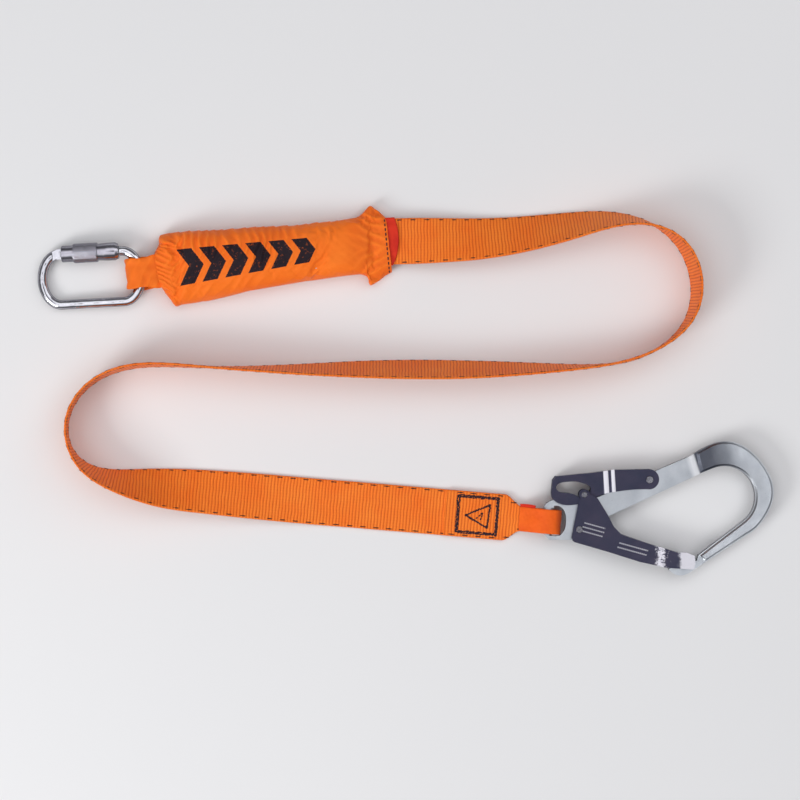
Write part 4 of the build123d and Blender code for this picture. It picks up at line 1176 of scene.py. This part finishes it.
def shade_hook_body(shader):
    """Painted shade as a dark gradient, and a painted highlight as a thin bright line, over the
    +Y part of the hook body.
    """
    x, y, _ = shader.position()
    slope, start = 9.0, 0.20
    along = (x - 290.4 * MM) * 0.95 + (y - -71.5 * MM) * 0.30
    painted_bow_shade = shader.ramp(along * slope + start,
                       (0.0, 0.10), (0.10, 0.16), (0.155, 0.0), (0.20, 0.90), (0.34, 0.87),
                       (0.48, 0.58), (0.60, 0.22), (0.72, 0.04), (0.86, 0))
    upper = shader.ramp((y - -109.2 * MM) * 22 + 0.5, (0.0, 0), (0.8, 1))
    glint = shader.ramp(along * slope + start, (0.11, 0), (0.155, 1), (0.185, 1), (0.20, 0))
    # painted shade darkens the upper bow; the glint is a painted highlight on the ramp from
    # spine to bow
    shader.tint(painted_bow_shade * upper, (0.045, 0.05, 0.075, 1))
    shader.tint(glint * upper * 0.8, (0.95, 0.96, 0.98, 1))


def bevel(part, width, segments=2):
    """Round the sharp edges of a CAD piece; width in mm."""
    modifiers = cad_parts[part].modifiers
    modifiers.new("weld", "WELD").merge_threshold = 0.00001
    rounding = modifiers.new("bevel", "BEVEL")
    rounding.width = width * MM
    rounding.segments = segments
    rounding.limit_method = "ANGLE"
    rounding.angle_limit = math.radians(40)
    rounding.harden_normals = False
    rounding.use_clamp_overlap = True
    modifiers.new("normals", "WEIGHTED_NORMAL").keep_sharp = True


mark_gate(black_plate)
shade_hook_body(forged)
bevel("hook_body", 1.3, segments=3)
for part_name in ("hook_gate", "hook_lock_lever", *HOOK_RIVETS, "carabiner_gate_rivet"):
    bevel(part_name, 0.35)
bevel("carabiner_lock_sleeve", 0.3)


# ---------------------------------------------------------------- stage
def build_floor():
    bpy.ops.mesh.primitive_plane_add(size=8, location=(0, 0, -0.0006))
    floor = bpy.context.object
    floor.name = "floor"
    paper = Shader("floor_paper")
    colour = paper.mix(paper.noise(scale=3, detail=3), (0.80, 0.80, 0.80, 1),
                       (0.79, 0.79, 0.795, 1))
    paper.set({"Base Color": colour, "Roughness": 0.9, "Specular IOR Level": 0.1})
    paper.bump(paper.noise(scale=500, detail=3), strength=0.05, distance=0.0002)
    floor.data.materials.append(paper.material)


def area_light(name, location, size, power):
    """Square light aimed at the origin."""
    light = bpy.data.lights.new(name, "AREA")
    light.energy = power
    light.shape = "RECTANGLE"
    light.size = light.size_y = size
    obj = bpy.data.objects.new(name, light)
    bpy.context.scene.collection.objects.link(obj)
    obj.location = location
    obj.rotation_euler = (-Vector(location)).to_track_quat("-Z", "Y").to_euler()


def build_world():
    """Sky graded from the zenith (0) to the horizon (1), with a bright band high up."""
    world = bpy.data.worlds.new("studio")
    bpy.context.scene.world = world
    world.use_nodes = True
    nodes, links = world.node_tree.nodes, world.node_tree.links
    coords = nodes.new("ShaderNodeTexCoord")
    split = nodes.new("ShaderNodeSeparateXYZ")
    links.new(coords.outputs["Generated"], split.inputs[0])
    zenith_angle = nodes.new("ShaderNodeMath")
    zenith_angle.operation = "ARCCOSINE"
    links.new(split.outputs[2], zenith_angle.inputs[0])
    share = nodes.new("ShaderNodeMath")
    share.operation = "DIVIDE"
    share.inputs[1].default_value = math.pi / 2
    links.new(zenith_angle.outputs[0], share.inputs[0])
    ramp = nodes.new("ShaderNodeValToRGB")
    links.new(share.outputs[0], ramp.inputs[0])
    stops = ramp.color_ramp.elements
    stops[0].position = 0.0
    stops[0].color = (0.03, 0.03, 0.045, 1)
    stops[1].position = 1.0
    stops[1].color = (0.20, 0.20, 0.22, 1)
    blue_gain = 1.03
    for position, grey in ((0.10, 0.05), (0.135, 1.15), (0.36, 1.1), (0.46, 0.5),
                           (0.58, 0.10), (0.80, 0.12)):
        stops.new(position).color = (grey, grey, grey * blue_gain, 1)
    links.new(ramp.outputs[0], nodes["Background"].inputs["Color"])
    nodes["Background"].inputs["Strength"].default_value = 1.25


def build_camera():
    """Camera straight above, looking down with +Y up."""
    height, half_view, sensor = 3.0, 0.4, 36
    camera = bpy.data.cameras.new("photo_view")
    obj = bpy.data.objects.new("photo_view", camera)
    bpy.context.scene.collection.objects.link(obj)
    obj.location = (-0.0048, -0.00985, height)
    obj.rotation_euler = (0, 0, 0)
    camera.sensor_width = sensor
    camera.lens = sensor / 2 / (half_view / height)
    camera.clip_end = 20
    bpy.context.scene.camera = obj


build_floor()
area_light("key", (-1.7, -1.3, 1.5), size=0.9, power=30)
area_light("fill", (1.8, 1.2, 1.8), size=1.6, power=10)
build_world()
bpy.context.scene.view_settings.view_transform = "Standard"
bpy.context.scene.view_settings.look = "None"
build_camera()

bpy.context.view_layer.update()
